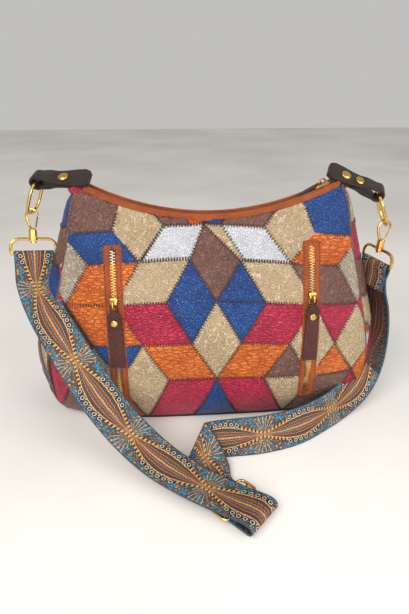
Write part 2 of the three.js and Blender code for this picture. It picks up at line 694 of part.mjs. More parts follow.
const UP = vec(0, 0, 1);
const leftSeat = vec(-124, -3, 252.6);
const leftTunnel = vec(-166, 7, 250);
const leftAway = vec(leftTunnel.x - leftSeat.x, leftTunnel.y - leftSeat.y, 0).normalize();
tab('left_tab', leftSeat, leftTunnel, [['left_tab_rivet', 19, 0]]);
const leftAxis = UP.clone().cross(leftAway).normalize();
const leftHang = leftAway.clone().multiplyScalar(0.38).addScaledVector(UP, -0.925).normalize();
const leftLink = ring('left_ring', leftTunnel, leftAxis, leftHang);
const leftUp = vec(0.02, 0.3, 0.95).normalize();
const leftHook = leftLink.clone().addScaledVector(leftUp, -EYE_SEAT);
hook('left', leftHook, leftAway.clone().negate(), leftUp);
const leftFacing = vec(0.94, 0.34, 0);
strapBase('left_strap_base', leftHook, leftFacing, leftUp);
const leftFront = leftFacing.clone().cross(leftUp).normalize();
const leftAcross = leftUp.clone().cross(leftFront);
const leftBar = leftHook.clone().addScaledVector(leftUp, BASE_BAR);
strapEnd('strap_left_end', leftBar, leftAcross, leftFront, leftUp, 23);

const rightSeat = vec(124, 0, 254);
const rightTunnel = vec(165, -7, 236);
const rightAway = vec(rightTunnel.x - rightSeat.x, rightTunnel.y - rightSeat.y, 0).normalize();
tab('right_tab', rightSeat, rightTunnel, [['right_tab_rivet_inner', 10, 4], ['right_tab_rivet_outer', 21, -2]]);
const rightAxis = UP.clone().cross(rightAway).normalize();
const rightHang = rightAway.clone().multiplyScalar(0.38).addScaledVector(UP, -0.925).normalize();
const rightLink = ring('right_ring', rightTunnel, rightAxis, rightHang);
const rightUp = vec(0.06, 0, 1).normalize();
const rightHook = rightLink.clone().addScaledVector(rightUp, -EYE_SEAT);
hook('right', rightHook, rightAway, rightUp);
const rightFacing = vec(-0.3, 0.954, 0);
strapBase('right_strap_base', rightHook, rightFacing, rightUp);
const rightFront = rightFacing.clone().cross(rightUp).normalize();
const rightAcross = rightUp.clone().cross(rightFront);
const rightBar = rightHook.clone().addScaledVector(rightUp, BASE_BAR);
strapEnd('strap_right_end', rightBar, rightAcross, rightFront, rightUp, 27);

// Strap runs by the two edges of each station
const half = STRAP_WIDE / 2;
const cut = 12 + 0.8;
function edgesAt(mid, direction) {
  const across = direction.clone().normalize();
  return [mid.clone().addScaledVector(across, -half), mid.clone().addScaledVector(across, half)];
}
const loopAcross = vec(0.71, 0.704, 0).normalize();
const loopAway = vec(0.704, -0.71, 0).normalize();
const loopMid = vec(25, -188.5, 0);
const TOP_LAYER = 9.6;
const UNDER_LAYER = 4.1;
const leftStart = leftBar.clone().addScaledVector(leftFront, SEWN).addScaledVector(leftUp, -cut);
const leftStations = [
  edgesAt(leftStart, leftAcross),
  edgesAt(leftStart.clone().addScaledVector(leftUp, -8), leftAcross),
  edgesAt(leftStart.clone().addScaledVector(leftUp, -16), leftAcross),
  edgesAt(vec(-168, -36, 131), vec(0.93, 0.1, 0.3)),
  edgesAt(vec(-154, -55, 116), vec(0.88, 0.18, 0.38)),
  edgesAt(vec(-133.5, -76, 90), vec(0.88, 0.3, 0.34)),
  edgesAt(vec(-109.5, -97, 60), vec(0.87, 0.42, 0.26)),
  edgesAt(vec(-84, -115, 35), vec(0.8, 0.54, 0.24)),
  edgesAt(vec(-56, -135, 19.5), vec(0.74, 0.65, 0.15)),
  edgesAt(vec(-27, -154, 12.8), vec(0.71, 0.7, 0.05)),
  edgesAt(vec(0, -171, 10.4), loopAcross),
  edgesAt(loopMid.clone().add(vec(0, 0, TOP_LAYER)), loopAcross),
];
add('strap_left_run', ribbon(smoothEdges(leftStations, 26)), 'strap');

// Loop end lying on the floor, with the layer that returns beneath
const loopRadius = (TOP_LAYER - UNDER_LAYER) / 2;
const loopNear = loopMid.clone().addScaledVector(loopAway, SEAM_GAP);
const loopStations = [edgesAt(loopNear.clone().add(vec(0, 0, TOP_LAYER)), loopAcross)];
span(Math.PI / 2, -Math.PI / 2, 6).forEach((a) => {
  const out = loopNear.clone().addScaledVector(loopAway, 3 + Math.cos(a) * loopRadius);
  loopStations.push(edgesAt(out.add(vec(0, 0, UNDER_LAYER + loopRadius * (1 + Math.sin(a)))), loopAcross));
});
loopStations.push(edgesAt(loopNear.clone().add(vec(0, 0, UNDER_LAYER)), loopAcross));
add('strap_loop_end', ribbon(loopStations), 'strap');

const underAt = (back) => loopMid.clone().addScaledVector(loopAway, -back).add(vec(0, 0, UNDER_LAYER));
const underStations = [
  edgesAt(underAt(0), loopAcross),
  edgesAt(underAt(14), loopAcross),
  edgesAt(underAt(28), loopAcross),
  edgesAt(underAt(42), loopAcross),
  [vec(-27, -150, 3.6), vec(9.5, -128, 8)],
  [vec(-31, -131, 2.2), vec(0, -113, 20)],
  [vec(-29.6, -119.6, 2.3), vec(-10.6, -100.2, 34)],
];
add('strap_under_run', ribbon(smoothEdges(underStations, 16)), 'strapBack');

const buckleMid = loopMid.clone().addScaledVector(loopAway, -25);
const barLong = STRAP_WIDE + 7;
const block = (x, y, z, dx, dy, dz) => new THREE.BoxGeometry(dx, dy, dz).translate(x, y, z);
const railAt = barLong / 2 - 1.1;
const buckle = union([
  block(0, -9.5, 1.4, barLong, 2.4, 2.2),
  block(0, 9.5, 1.4, barLong, 2.4, 2.2),
  block(0, 0, 6.6, barLong, 2.2, 1.6),
  block(-railAt, 0, 3.85, 2.2, 21.4, 7.1),
  block(railAt, 0, 3.85, 2.2, 21.4, 7.1),
]);
add('strap_slide_buckle', placed(fromManifold(buckle), buckleMid, loopAcross, loopAway.clone().negate(), UP), 'gold');

const floorStations = [
  [vec(-30, -117.5, 1.2), vec(-11, -98, 33)],
  [vec(9, -114.5, 0.9), vec(13, -98, 34.6)],
  [vec(45, -112.5, 0.9), vec(47, -95, 34.8)],
  [vec(85, -102, 0.9), vec(83, -86, 35.2)],
  [vec(124, -83, 0.9), vec(119, -70, 36.4)],
  [vec(161, -58, 0.9), vec(154, -53, 37.8)],
  [vec(188, -42, 0.9), vec(182, -39, 38.4)],
  [vec(200.5, -31, 0.9), vec(196, -28, 38.8)],
  [vec(202.1, -16, 1.5), vec(189.1, 9.4, 39.8)],
];
add('strap_floor_run', ribbon(smoothEdges(floorStations, 24)), 'strap');

const rightStart = rightBar.clone().addScaledVector(rightFront, SEWN).addScaledVector(rightUp, -cut);
const rightStations = [
  edgesAt(rightStart, rightAcross),
  edgesAt(rightStart.clone().add(vec(2, 0, -14)), rightAcross),
  edgesAt(vec(190, -4, 104), rightAcross),
  edgesAt(vec(198, -3.5, 74), rightAcross),
  [vec(207.5, -20, 46), vec(195, 14.6, 58)],
  [vec(206, -17.5, 20), vec(193, 13, 47)],
  [vec(204, -15, 1.8), vec(191, 10.5, 40)],
];
add('strap_right_run', ribbon(smoothEdges(rightStations, 22)), 'strapBack');

export default group;
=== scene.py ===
"""Looks of the patchwork leather shoulder bag: quilted panels, zips, gold fittings and printed strap."""

import math

import bpy
import numpy as np
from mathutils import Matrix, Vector


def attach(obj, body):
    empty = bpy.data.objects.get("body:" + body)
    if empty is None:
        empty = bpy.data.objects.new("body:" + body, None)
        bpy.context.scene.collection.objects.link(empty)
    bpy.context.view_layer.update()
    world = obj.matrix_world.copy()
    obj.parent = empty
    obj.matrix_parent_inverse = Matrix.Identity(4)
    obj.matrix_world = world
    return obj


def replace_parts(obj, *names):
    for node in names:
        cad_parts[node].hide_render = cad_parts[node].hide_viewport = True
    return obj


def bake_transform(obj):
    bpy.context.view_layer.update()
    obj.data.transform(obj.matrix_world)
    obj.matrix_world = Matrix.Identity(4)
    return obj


MM = 0.001
CAMERA_PLACE = (-0.038, -0.449, 0.340)
CAMERA_HEADING = (0.0698, 0.9976)
CAMERA_PITCH = math.radians(27)

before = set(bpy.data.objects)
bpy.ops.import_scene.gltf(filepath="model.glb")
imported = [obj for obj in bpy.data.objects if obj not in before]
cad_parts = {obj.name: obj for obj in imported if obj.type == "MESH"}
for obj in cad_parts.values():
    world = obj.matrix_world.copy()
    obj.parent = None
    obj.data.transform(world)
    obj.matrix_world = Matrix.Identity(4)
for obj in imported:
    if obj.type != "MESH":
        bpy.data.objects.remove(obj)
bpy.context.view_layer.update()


# Camera
scene = bpy.context.scene
camera_data = bpy.data.cameras.new("camera")
camera_data.sensor_width = 36
camera_data.lens = 26.7
camera_data.clip_start = 0.01
camera = bpy.data.objects.new("camera", camera_data)
scene.collection.objects.link(camera)
camera.location = CAMERA_PLACE
level = math.cos(CAMERA_PITCH)
look = Vector((CAMERA_HEADING[0] * level, CAMERA_HEADING[1] * level, -math.sin(CAMERA_PITCH)))
camera.rotation_euler = look.to_track_quat("-Z", "Y").to_euler()
scene.camera = camera
scene.render.resolution_x = 409
scene.render.resolution_y = 614
scene.view_settings.view_transform = "Standard"


# Mesh helpers, all in millimetres
def unit(vector):
    vector = np.asarray(vector, float)
    return vector / np.linalg.norm(vector)


def unit_rows(vectors):
    return vectors / np.linalg.norm(vectors, axis=1)[:, None]


def length_along(line):
    return np.concatenate([[0], np.cumsum(np.linalg.norm(np.diff(line, axis=0), axis=1))])


def circle(side, other, sides):
    angles = np.arange(sides) * 2 * math.pi / sides
    return np.cos(angles)[:, None] * side + np.sin(angles)[:, None] * other


def sheet_faces(rows, columns):
    """Faces of a grid of points that is open on all sides."""
    faces = []
    for i in range(rows - 1):
        for k in range(columns - 1):
            low = i * columns + k
            faces.append([low, low + columns, low + columns + 1, low + 1])
    return faces


def ring_faces(rings, sides):
    """Faces between rings of points that are each closed."""
    faces = []
    for i in range(rings - 1):
        low = i * sides
        high = low + sides
        for k in range(sides):
            after = (k + 1) % sides
            faces.append([low + k, low + after, high + after, high + k])
    return faces


def end_faces(rings, sides):
    """Faces that close the first and the last ring."""
    return [list(range(sides))[::-1], list(range((rings - 1) * sides, rings * sides))]


def mesh_object(name, points, faces, materials, body="bag", slots=None, uvs=None, smooth=True):
    mesh = bpy.data.meshes.new(name)
    mesh.from_pydata((np.asarray(points, float) * MM).tolist(), [], [list(map(int, face)) for face in faces])
    for material in materials:
        mesh.materials.append(material)
    if slots is not None:
        mesh.polygons.foreach_set("material_index", list(map(int, slots)))
    mesh.polygons.foreach_set("use_smooth", [smooth] * len(mesh.polygons))
    if uvs is not None:
        layer = mesh.uv_layers.new(name="UVMap")
        corner = np.zeros(len(mesh.loops), int)
        mesh.loops.foreach_get("vertex_index", corner)
        layer.data.foreach_set("uv", np.asarray(uvs, float)[corner].ravel())
    mesh.update()
    made = bpy.data.objects.new(name, mesh)
    scene.collection.objects.link(made)
    if body:
        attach(made, body)
    return made


class Gather:
    """Collects points and faces of several solids into one mesh."""

    def __init__(self):
        self.points = []
        self.faces = []
        self.slots = []
        self.count = 0

    def add(self, points, faces, slot=0):
        points = np.asarray(points, float).reshape(-1, 3)
        self.points.append(points)
        for face in faces:
            self.faces.append([index + self.count for index in face])
            self.slots.append(slot)
        self.count += len(points)

    def make(self, name, materials, body="bag", smooth=True):
        points = np.concatenate(self.points)
        return mesh_object(name, points, self.faces, materials, body, self.slots, None, smooth)


def tube(gather, path, radius, sides=12, closed=False):
    path = np.asarray(path, float)
    count = len(path)
    if closed:
        along = unit_rows(np.roll(path, -1, 0) - np.roll(path, 1, 0))
    else:
        along = unit_rows(np.gradient(path, axis=0))
    start = [0.0, 0.0, 1.0] if abs(along[0][2]) < 0.9 else [1.0, 0.0, 0.0]
    side = unit(np.cross(along[0], start))
    rings = []
    for i in range(count):
        side = unit(side - along[i] * np.dot(side, along[i]))
        rings.append(path[i] + radius * circle(side, np.cross(along[i], side), sides))
    faces = ring_faces(count, sides)
    if closed:
        shift = int(np.argmin(np.linalg.norm(rings[0] - rings[-1][0], axis=1)))
        low = (count - 1) * sides
        for k in range(sides):
            faces.append([low + k, low + (k + 1) % sides, (k + 1 + shift) % sides, (k + shift) % sides])
    else:
        faces += end_faces(count, sides)
    gather.add(np.concatenate(rings), faces)


def lathe(gather, base, axis, profile, sides):
    axis = unit(axis)
    side = unit(np.cross(axis, [0.3, 0.9, 0.1]))
    ring = circle(side, np.cross(axis, side), sides)
    points = [base + axis * height + max(radius, 0.01) * ring for radius, height in profile]
    gather.add(np.concatenate(points), ring_faces(len(profile), sides))


def block(gather, centre, along, across, out, size):
    """A block with slightly narrowed top, size along, across, out, standing on centre."""
    corners = []
    for height, shrink in ((0, 1), (0.65, 1), (1, 0.72)):
        for a, b in ((-1, -1), (1, -1), (1, 1), (-1, 1)):
            corners.append(centre + along * a * size[0] / 2 * shrink + across * b * size[1] / 2 * shrink
                           + out * size[2] * height)
    faces = [[3, 2, 1, 0], [8, 9, 10, 11]]
    for low in (0, 4):
        for k in range(4):
            faces.append([low + k, low + (k + 1) % 4, low + 4 + (k + 1) % 4, low + 4 + k])
    gather.add(np.array(corners), faces)


def threads(gather, starts, ends, outs, radius):
    """Short sewing stitches that arch a little over the leather."""
    for start, end, out in zip(starts, ends, outs):
        length = np.linalg.norm(end - start)
        if length < 0.3:
            continue
        along = (end - start) / length
        side = unit(np.cross(out, along))
        rows = []
        for q, rise, width in ((0, -0.5, 0.7), (0.25, 0.45, 1), (0.75, 0.45, 1), (1, -0.5, 0.7)):
            middle = start + (end - start) * q + out * radius * rise
            reach = side * radius * width
            rows += [middle + reach, middle + out * radius * width * 1.1, middle - reach]
        faces = []
        for i in range(3):
            for k in range(2):
                faces.append([i * 3 + k, i * 3 + k + 1, i * 3 + k + 4, i * 3 + k + 3])
        gather.add(np.array(rows), faces)


# Materials
def linear(colour):
    out = []
    for value in colour:
        value /= 255
        out.append(value / 12.92 if value <= 0.04045 else ((value + 0.055) / 1.055) ** 2.4)
    return (*out, 1.0)


class Shader:
    """A material with short calls for its nodes."""

    def __init__(self, name):
        self.material = bpy.data.materials.new(name)
        self.material.use_nodes = True
        self.tree = self.material.node_tree
        self.surface = self.tree.nodes["Principled BSDF"]

    def node(self, kind, **settings):
        made = self.tree.nodes.new(kind)
        for key, value in settings.items():
            setattr(made, key, value)
        return made

    def put(self, socket, value):
        if isinstance(value, bpy.types.NodeSocket):
            self.tree.links.new(value, socket)
        else:
            socket.default_value = value

    def math(self, operation, first, second=0.0, third=0.0):
        made = self.node("ShaderNodeMath", operation=operation)
        for socket, value in zip(made.inputs, (first, second, third)):
            self.put(socket, value)
        return made.outputs[0]

    def times(self, first, second):
        return self.math("MULTIPLY", first, second)

    def less(self, first, second):
        return self.math("LESS_THAN", first, second)

    def repeat(self, value, often):
        return self.math("FRACT", self.times(value, often))

    def vector(self, operation, first, second, third=(0.0, 0.0, 0.0)):
        made = self.node("ShaderNodeVectorMath", operation=operation)
        for socket, value in zip(made.inputs, (first, second, third)):
            self.put(socket, value)
        return made.outputs[0]

    def mix(self, factor, first, second):
        made = self.node("ShaderNodeMix", data_type="RGBA")
        self.put(made.inputs[0], factor)
        self.put(made.inputs[6], first)
        self.put(made.inputs[7], second)
        return made.outputs[2]

    def ramp(self, factor, stops, interpolation="LINEAR"):
        made = self.node("ShaderNodeValToRGB")
        made.color_ramp.interpolation = interpolation
        elements = made.color_ramp.elements
        while len(elements) < len(stops):
            elements.new(0.5)
        for element, (place, colour) in zip(elements, stops):
            element.position = place
            element.color = colour
        self.put(made.inputs[0], factor)
        return made.outputs[0]

    def step(self, value, low, high):
        made = self.node("ShaderNodeMapRange", interpolation_type="SMOOTHSTEP")
        self.put(made.inputs[0], value)
        self.put(made.inputs[1], low)
        self.put(made.inputs[2], high)
        return made.outputs[0]

    def object_place(self):
        return self.node("ShaderNodeTexCoord").outputs["Object"]

    def noise(self, place, scale, detail=3.0, roughness=0.55):
        made = self.node("ShaderNodeTexNoise")
        self.put(made.inputs["Vector"], place)
        self.put(made.inputs["Scale"], scale)
        self.put(made.inputs["Detail"], detail)
        self.put(made.inputs["Roughness"], roughness)
        return made

    def cells(self, place, scale, feature):
        made = self.node("ShaderNodeTexVoronoi", feature=feature)
        self.put(made.inputs["Vector"], place)
        self.put(made.inputs["Scale"], scale)
        return made

    def cell_edges(self, place, scale):
        return self.cells(place, scale, "DISTANCE_TO_EDGE").outputs["Distance"]

    def bump(self, height, strength, distance):
        made = self.node("ShaderNodeBump")
        self.put(made.inputs["Strength"], strength)
        self.put(made.inputs["Distance"], distance)
        self.put(made.inputs["Height"], height)
        self.put(self.surface.inputs["Normal"], made.outputs[0])

    def set(self, name, value):
        self.put(self.surface.inputs[name], value)


GRAIN_BEND = 0.0022
GRAIN_DEPTH = 0.0014


def leather(name, colour, shade, rough, grain, crease_depth, vein=None, vein_share=0.5, stretch=(1, 1, 1)):
    """Pebbled leather; vein is the colour of its cracks, and stretch draws its creases out sideways."""
    shader = Shader(name)
    place = shader.object_place()
    clouds = shader.noise(place, 42.0, 5.0, 0.6)
    base = shader.mix(shader.step(clouds.outputs[0], 0.36, 0.68), linear(colour), linear(shade))
    warp = shader.noise(place, 190.0, 3.0, 0.6)
    drawn = shader.vector("MULTIPLY", place, stretch)
    bent = shader.vector("MULTIPLY_ADD", warp.outputs[1], (GRAIN_BEND, GRAIN_BEND, GRAIN_BEND), drawn)
    pebbles = shader.step(shader.cell_edges(bent, grain * 1.1), 0.0, 0.2)
    creases = shader.step(shader.cell_edges(bent, grain * 0.6), 0.02, 0.12)
    height = shader.math("MULTIPLY_ADD", creases, crease_depth, shader.times(pebbles, 0.5))
    fine_groove = shader.times(shader.math("SUBTRACT", 1.0, pebbles), 0.45)
    groove = shader.math("MAXIMUM", shader.math("SUBTRACT", 1.0, creases), fine_groove)
    line = linear(vein) if vein else linear(tuple(value * 0.62 for value in shade))
    shader.set("Base Color", shader.mix(shader.times(groove, vein_share), base, line))
    shader.set("Roughness", rough)
    shader.bump(height, 1.0, GRAIN_DEPTH)
    return shader.material


def plain(name, colour, rough, metal, grain, strength):
    """One colour with fine specks a little darker and paler than it."""
    shader = Shader(name)
    speck = shader.noise(shader.object_place(), grain)
    darker = linear(tuple(value * 0.88 for value in colour))
    paler = linear(tuple(min(255, value * 1.12 + 4) for value in colour))
    shader.set("Base Color", shader.mix(speck.outputs[0], darker, paler))
    shader.set("Roughness", rough)
    shader.set("Metallic", metal)
    shader.bump(speck.outputs[0], strength, 0.0004)
    return shader.material


SIDEWAYS = (0.55, 0.7, 1.5)
LEATHER = {
    "blue": leather("blue_leather", (34, 82, 152), (26, 66, 130), 0.38, 470.0, 0.5, (16, 42, 90), 0.6),
    "crimson": leather("crimson_leather", (200, 44, 78), (176, 32, 66), 0.42, 430.0, 0.8,
                       (128, 16, 44), 0.6, SIDEWAYS),
    "orange": leather("orange_leather", (222, 116, 40), (200, 96, 30), 0.42, 330.0, 0.9,
                      (150, 62, 16), 0.6, SIDEWAYS),
    "beige": leather("beige_leather", (172, 144, 106), (152, 124, 88), 0.46, 400.0, 0.5,
                     (218, 200, 168), 0.75),
    "brown": leather("brown_leather", (104, 66, 56), (84, 50, 44), 0.42, 360.0, 0.6, (152, 116, 104), 0.55),
    "white": leather("white_leather", (226, 227, 230), (208, 209, 216), 0.3, 560.0, 0.4,
                     (176, 176, 186), 0.4),
    "grey": leather("grey_leather", (148, 134, 116), (126, 110, 94), 0.46, 400.0, 0.5, (204, 194, 176), 0.65),
    "tan": leather("tan_leather", (190, 94, 38), (164, 76, 28), 0.42, 760.0, 0.2, (140, 62, 22), 0.25),
    "dark": leather("tab_leather", (60, 40, 34), (44, 29, 25), 0.42, 760.0, 0.2, (32, 20, 18), 0.3),
    "pull": leather("pull_leather", (94, 46, 38), (74, 35, 30), 0.4, 700.0, 0.2, (54, 25, 22), 0.3),
    "base": leather("base_leather", (70, 48, 40), (52, 34, 28), 0.55, 620.0, 0.3),
}
GOLD = plain("gold_metal", (212, 170, 92), 0.24, 1.0, 700.0, 0.02)
TEETH = plain("gold_teeth", (226, 186, 112), 0.3, 1.0, 700.0, 0.02)
TAPE = plain("zip_tape", (112, 66, 40), 0.85, 0.0, 1600.0, 0.25)
LINING = plain("lining_cloth", (58, 44, 38), 0.9, 0.0, 1500.0, 0.2)
THREAD = plain("dark_thread", (54, 36, 30), 0.75, 0.0, 2400.0, 0.2)

STRAP_HALF = 19.0
STRAP_THICK = 1.6
PRINT_REPEAT = 88.0
# The strap print as lit, and below it the same print darkened as painted shade for strap faces in shadow.
PRINT_BRIGHT = {
    "rib": (226, 142, 54), "a": (70, 98, 116), "b": (146, 76, 50), "c": (46, 76, 92), "d": (208, 124, 50),
    "line": (222, 178, 110), "ground": (66, 60, 60), "scrap": (30, 142, 176), "gold": (212, 148, 66),
    "ring": (22, 20, 22), "dot": (214, 204, 190), "selvedge": (44, 70, 80),
}
PRINT_SHADED = {
    "rib": (136, 66, 38), "a": (40, 34, 34), "b": (112, 56, 38), "c": (26, 21, 21), "d": (120, 66, 40),
    "line": (124, 82, 56), "ground": (26, 21, 21), "scrap": (30, 62, 74), "gold": (126, 70, 42),
    "ring": (18, 15, 15), "dot": (104, 74, 58), "selvedge": (30, 104, 128),
}


def strap_face(name, colours):
    """Strap print: pointed leaves down the middle, rings and gold blocks along them, small scraps outside."""
    shader = Shader(name)
    tint = {key: linear(value) for key, value in colours.items()}
    place = shader.node("ShaderNodeUVMap", uv_map="UVMap").outputs[0]
    even = shader.vector("MULTIPLY", place, (2 * STRAP_HALF / PRINT_REPEAT, 1.0, 1.0))
    split = shader.node("ShaderNodeSeparateXYZ")
    shader.put(split.inputs[0], place)
    along = split.outputs[1]
    wave = shader.noise(even, 16.0, 2.0)
    across = shader.math("MULTIPLY_ADD", split.outputs[0], 2.0, -1.0)
    across = shader.math("ADD", across, shader.math("MULTIPLY_ADD", wave.outputs[0], 0.1, -0.05))
    reach = shader.math("ABSOLUTE", across)
    swell = shader.math("SINE", shader.times(shader.math("FRACT", along), math.pi))
    width = shader.math("MULTIPLY_ADD", shader.math("POWER", swell, 1.2), 0.55, 0.03)
    inside = shader.math("DIVIDE", reach, width)
    outside = shader.math("SUBTRACT", reach, width)

    bands = [(0.0, "rib"), (0.09, "ring"), (0.15, "a"), (0.27, "line"), (0.3, "ring"), (0.38, "b"),
             (0.47, "ring"), (0.53, "d"), (0.6, "ring"), (0.67, "c"), (0.78, "ring"), (0.85, "b"),
             (0.92, "line")]
    leaf = shader.ramp(inside, [(start, tint[key]) for start, key in bands], "CONSTANT")
    hatch = shader.math("FRACT", shader.math("MULTIPLY_ADD", inside, 1.6, shader.times(along, 26.0)))
    leaf = shader.mix(shader.times(shader.less(hatch, 0.3), 0.35), leaf, tint["ring"])

    chance = shader.node("ShaderNodeSeparateColor")
    shader.put(chance.inputs[0], shader.cells(even, 42.0, "F1").outputs["Color"])
    lean = shader.math("MULTIPLY_ADD", shader.step(reach, 0.45, 0.95), 0.22, chance.outputs[0])
    kinds = [(0.0, "ground"), (0.26, "b"), (0.4, "gold"), (0.52, "a"), (0.62, "scrap")]
    scrap = shader.ramp(lean, [(start, tint[key]) for start, key in kinds], "CONSTANT")
    paint = shader.mix(shader.less(shader.cell_edges(even, 42.0), 0.13), scrap, tint["ground"])

    gold = shader.times(shader.less(outside, 0.14), shader.less(shader.repeat(along, 22.0), 0.5))
    paint = shader.mix(shader.less(outside, 0.17), paint, tint["ring"])
    paint = shader.mix(gold, paint, tint["gold"])
    ring_x = shader.math("DIVIDE", shader.math("SUBTRACT", outside, 0.15), 0.16)
    ring_y = shader.math("MULTIPLY_ADD", shader.repeat(along, 14.0), 2.1, -1.05)
    ring = shader.math("ADD", shader.times(ring_x, ring_x), shader.times(ring_y, ring_y))
    ring = shader.math("SQRT", ring)
    rings = shader.times(shader.less(ring, 1.0), shader.math("GREATER_THAN", swell, 0.8))
    bead = shader.ramp(ring, [(0.0, tint["ring"]), (0.42, tint["dot"]), (0.62, tint["ring"])], "CONSTANT")
    paint = shader.mix(rings, paint, bead)
    paint = shader.mix(shader.less(inside, 1.0), paint, leaf)

    from_tip = shader.math("SUBTRACT", shader.math("FRACT", shader.math("ADD", along, 0.5)), 0.5)
    fan = shader.math("ARCTAN2", across, shader.times(from_tip, 4.6))
    rays = shader.less(shader.repeat(fan, 4.2), 0.2)
    near = shader.times(shader.less(swell, 0.3), 0.7)
    paint = shader.mix(shader.times(rays, near), paint, tint["line"])
    paint = shader.mix(shader.math("GREATER_THAN", reach, 0.95), paint, tint["selvedge"])
    weave = shader.node("ShaderNodeTexWave", bands_direction="Y")
    shader.put(weave.inputs["Vector"], even)
    shader.put(weave.inputs["Scale"], 30.0)
    fine = shader.noise(even, 240.0, 2.0)
    paint = shader.mix(shader.times(fine.outputs[0], 0.35), paint, linear((34, 29, 28)))
    shader.set("Base Color", paint)
    shader.set("Roughness", 0.75)
    shader.bump(shader.math("ADD", weave.outputs[1], fine.outputs[0]), 0.25, 0.0004)
    return shader.material


STRAP_FACE = strap_face("strap_face", PRINT_BRIGHT)
# The darkened print: painted shade for the strap's back side and its hanging run.
STRAP_PAINTED_SHADE = strap_face("strap_painted_shade", PRINT_SHADED)
STRAP_EDGE = plain("strap_edge", (44, 60, 66), 0.85, 0.0, 1800.0, 0.3)


# Strap
BAR_SEWN = 1.1
BAR_FOLD = 2.75
SEWN_BELOW = 12

LEFT_BAR = np.array([-179.851, -2.211, 178.400])
LEFT_ACROSS = np.array([0.94492, 0.30588, -0.11649])
LEFT_FRONT = np.array([0.32669, -0.90321, 0.27835])
LEFT_UP = np.array([0.02007, 0.30107, 0.95339])
RIGHT_BAR = np.array([175.754, -9.254, 162.568])
RIGHT_ACROSS = np.array([-0.29895, 0.95410, 0.01794])
RIGHT_FRONT = np.array([0.95239, 0.29949, -0.05714])
RIGHT_UP = np.array([0.05989, 0.0, 0.99820])


BRIGHT_SLOT = 0
SHADED_SLOT = 1
EDGE_SLOT = 2


def edges_at(middle, across):
    middle = np.asarray(middle, float)
    across = unit(across) * STRAP_HALF
    return [middle - across, middle + across]


def between(t, low, high, first, last):
    return (high - t) / (high - low) * first + (t - low) / (high - low) * last


def through(points, spacing):
    """A centripetal Catmull-Rom line through points, evenly spaced."""
    points = np.asarray(points, float)
    first = 2 * points[0] - points[1]
    last = 2 * points[-1] - points[-2]
    padded = np.concatenate([[first], points, [last]])
    line = []
    for i in range(1, len(padded) - 2):
        p = padded[i - 1:i + 3]
        knots = [0.0]
        for k in range(3):
            knots.append(knots[-1] + max(np.linalg.norm((p[k + 1] - p[k])[:3]) ** 0.5, 1e-3))
        count = max(2, int(np.linalg.norm((p[2] - p[1])[:3]) / spacing) + 1)
        for t in np.linspace(knots[1], knots[2], count, endpoint=False):
            a = [between(t, knots[k], knots[k + 1], p[k], p[k + 1]) for k in range(3)]
            b = [between(t, knots[k], knots[k + 2], a[k], a[k + 1]) for k in range(2)]
            line.append(between(t, knots[1], knots[2], b[0], b[1]))
    line.append(padded[-2])
    return np.array(line)


def bar_wrap(bar, front, up, across, tail):
    """Strap end around its bar, from the sewn tail behind over the bar to the front."""
    places = [(-BAR_SEWN, -tail), (-BAR_SEWN, -tail * 0.75), (-BAR_SEWN, -SEWN_BELOW), (-2.2, -7),
              (-BAR_FOLD, -3.2)]
    for k in range(1, 8):
        angle = math.pi * (1 - k / 8)
        places.append((BAR_FOLD * math.cos(angle), BAR_FOLD * math.sin(angle)))
    places += [(BAR_FOLD, -3.2), (2.2, -7), (BAR_SEWN, -SEWN_BELOW)]
    return [edges_at(bar + front * n + up * h, across) for n, h in places]


def ribbon(name, stations, start_length, paint):
    """A flat strap through edge pairs, with print coordinates by length; paint chooses for each face the
    bright print or its darkened copy painted as shade.
    """
    stations = np.asarray(stations, float)
    both = through(stations.reshape(len(stations), 6), 3.0)
    a = both[:, :3]
    b = both[:, 3:]
    middle = (a + b) / 2
    along = unit_rows(np.gradient(middle, axis=0))
    across = unit_rows(b - a)
    a = middle - across * STRAP_HALF
    b = middle + across * STRAP_HALF
    normal = unit_rows(np.cross(across, along))
    length = length_along(middle)
    columns = np.array([0, 0.04, 0.2, 0.4, 0.6, 0.8, 0.96, 1])
    points = []
    uvs = []
    for sign in (-1, 1):
        for q in columns:
            thin = 0.6 if q in (0, 1) else 1.0
            points.append(a + (b - a) * q + normal * sign * STRAP_THICK / 2 * thin)
            uvs.append(np.stack([np.full(len(a), q), (length + start_length) / PRINT_REPEAT], -1))
    points = np.stack(points, 1)
    uvs = np.stack(uvs, 1)
    count = len(columns)
    faces = []
    slots = []
    for i in range(len(a) - 1):
        low = i * 2 * count
        high = low + 2 * count
        for k in range(count - 1):
            faces.append([low + k, low + k + 1, high + k + 1, high + k])
            slots.append(paint(middle[i], length[-1] - length[i], True))
            faces.append([low + count + k + 1, low + count + k, high + count + k, high + count + k + 1])
            slots.append(paint(middle[i], length[-1] - length[i], False))
        faces.append([low + count, low, high, high + count])
        faces.append([low + count - 1, low + 2 * count - 1, high + 2 * count - 1, high + count - 1])
        slots += [EDGE_SLOT, EDGE_SLOT]
    last = (len(a) - 1) * 2 * count
    for k in range(count - 1):
        faces.append([k + 1, k, count + k, count + k + 1])
        faces.append([last + k, last + k + 1, last + count + k + 1, last + count + k])
        slots += [EDGE_SLOT, EDGE_SLOT]
    materials = [STRAP_FACE, STRAP_PAINTED_SHADE, STRAP_EDGE]
    made = mesh_object(name, points.reshape(-1, 3), faces, materials, None, slots, uvs.reshape(-1, 2))
    return made, middle, length[-1]


LOOP_ACROSS = unit([0.71, 0.704, 0])
LOOP_AWAY = unit([0.704, -0.71, 0])
LOOP_MIDDLE = np.array([25.0, -188.5, 0.0])
LOOP_TOP = 13.4
LOOP_UNDER = 4.1
LOOP_TURN = 4.65
RISE = np.array([0.0, 0.0, 1.0])


def under_loop(back):
    """The lower layer of the strap, at a distance back from the loop end."""
    return edges_at(LOOP_MIDDLE - LOOP_AWAY * back + RISE * LOOP_UNDER, LOOP_ACROSS)


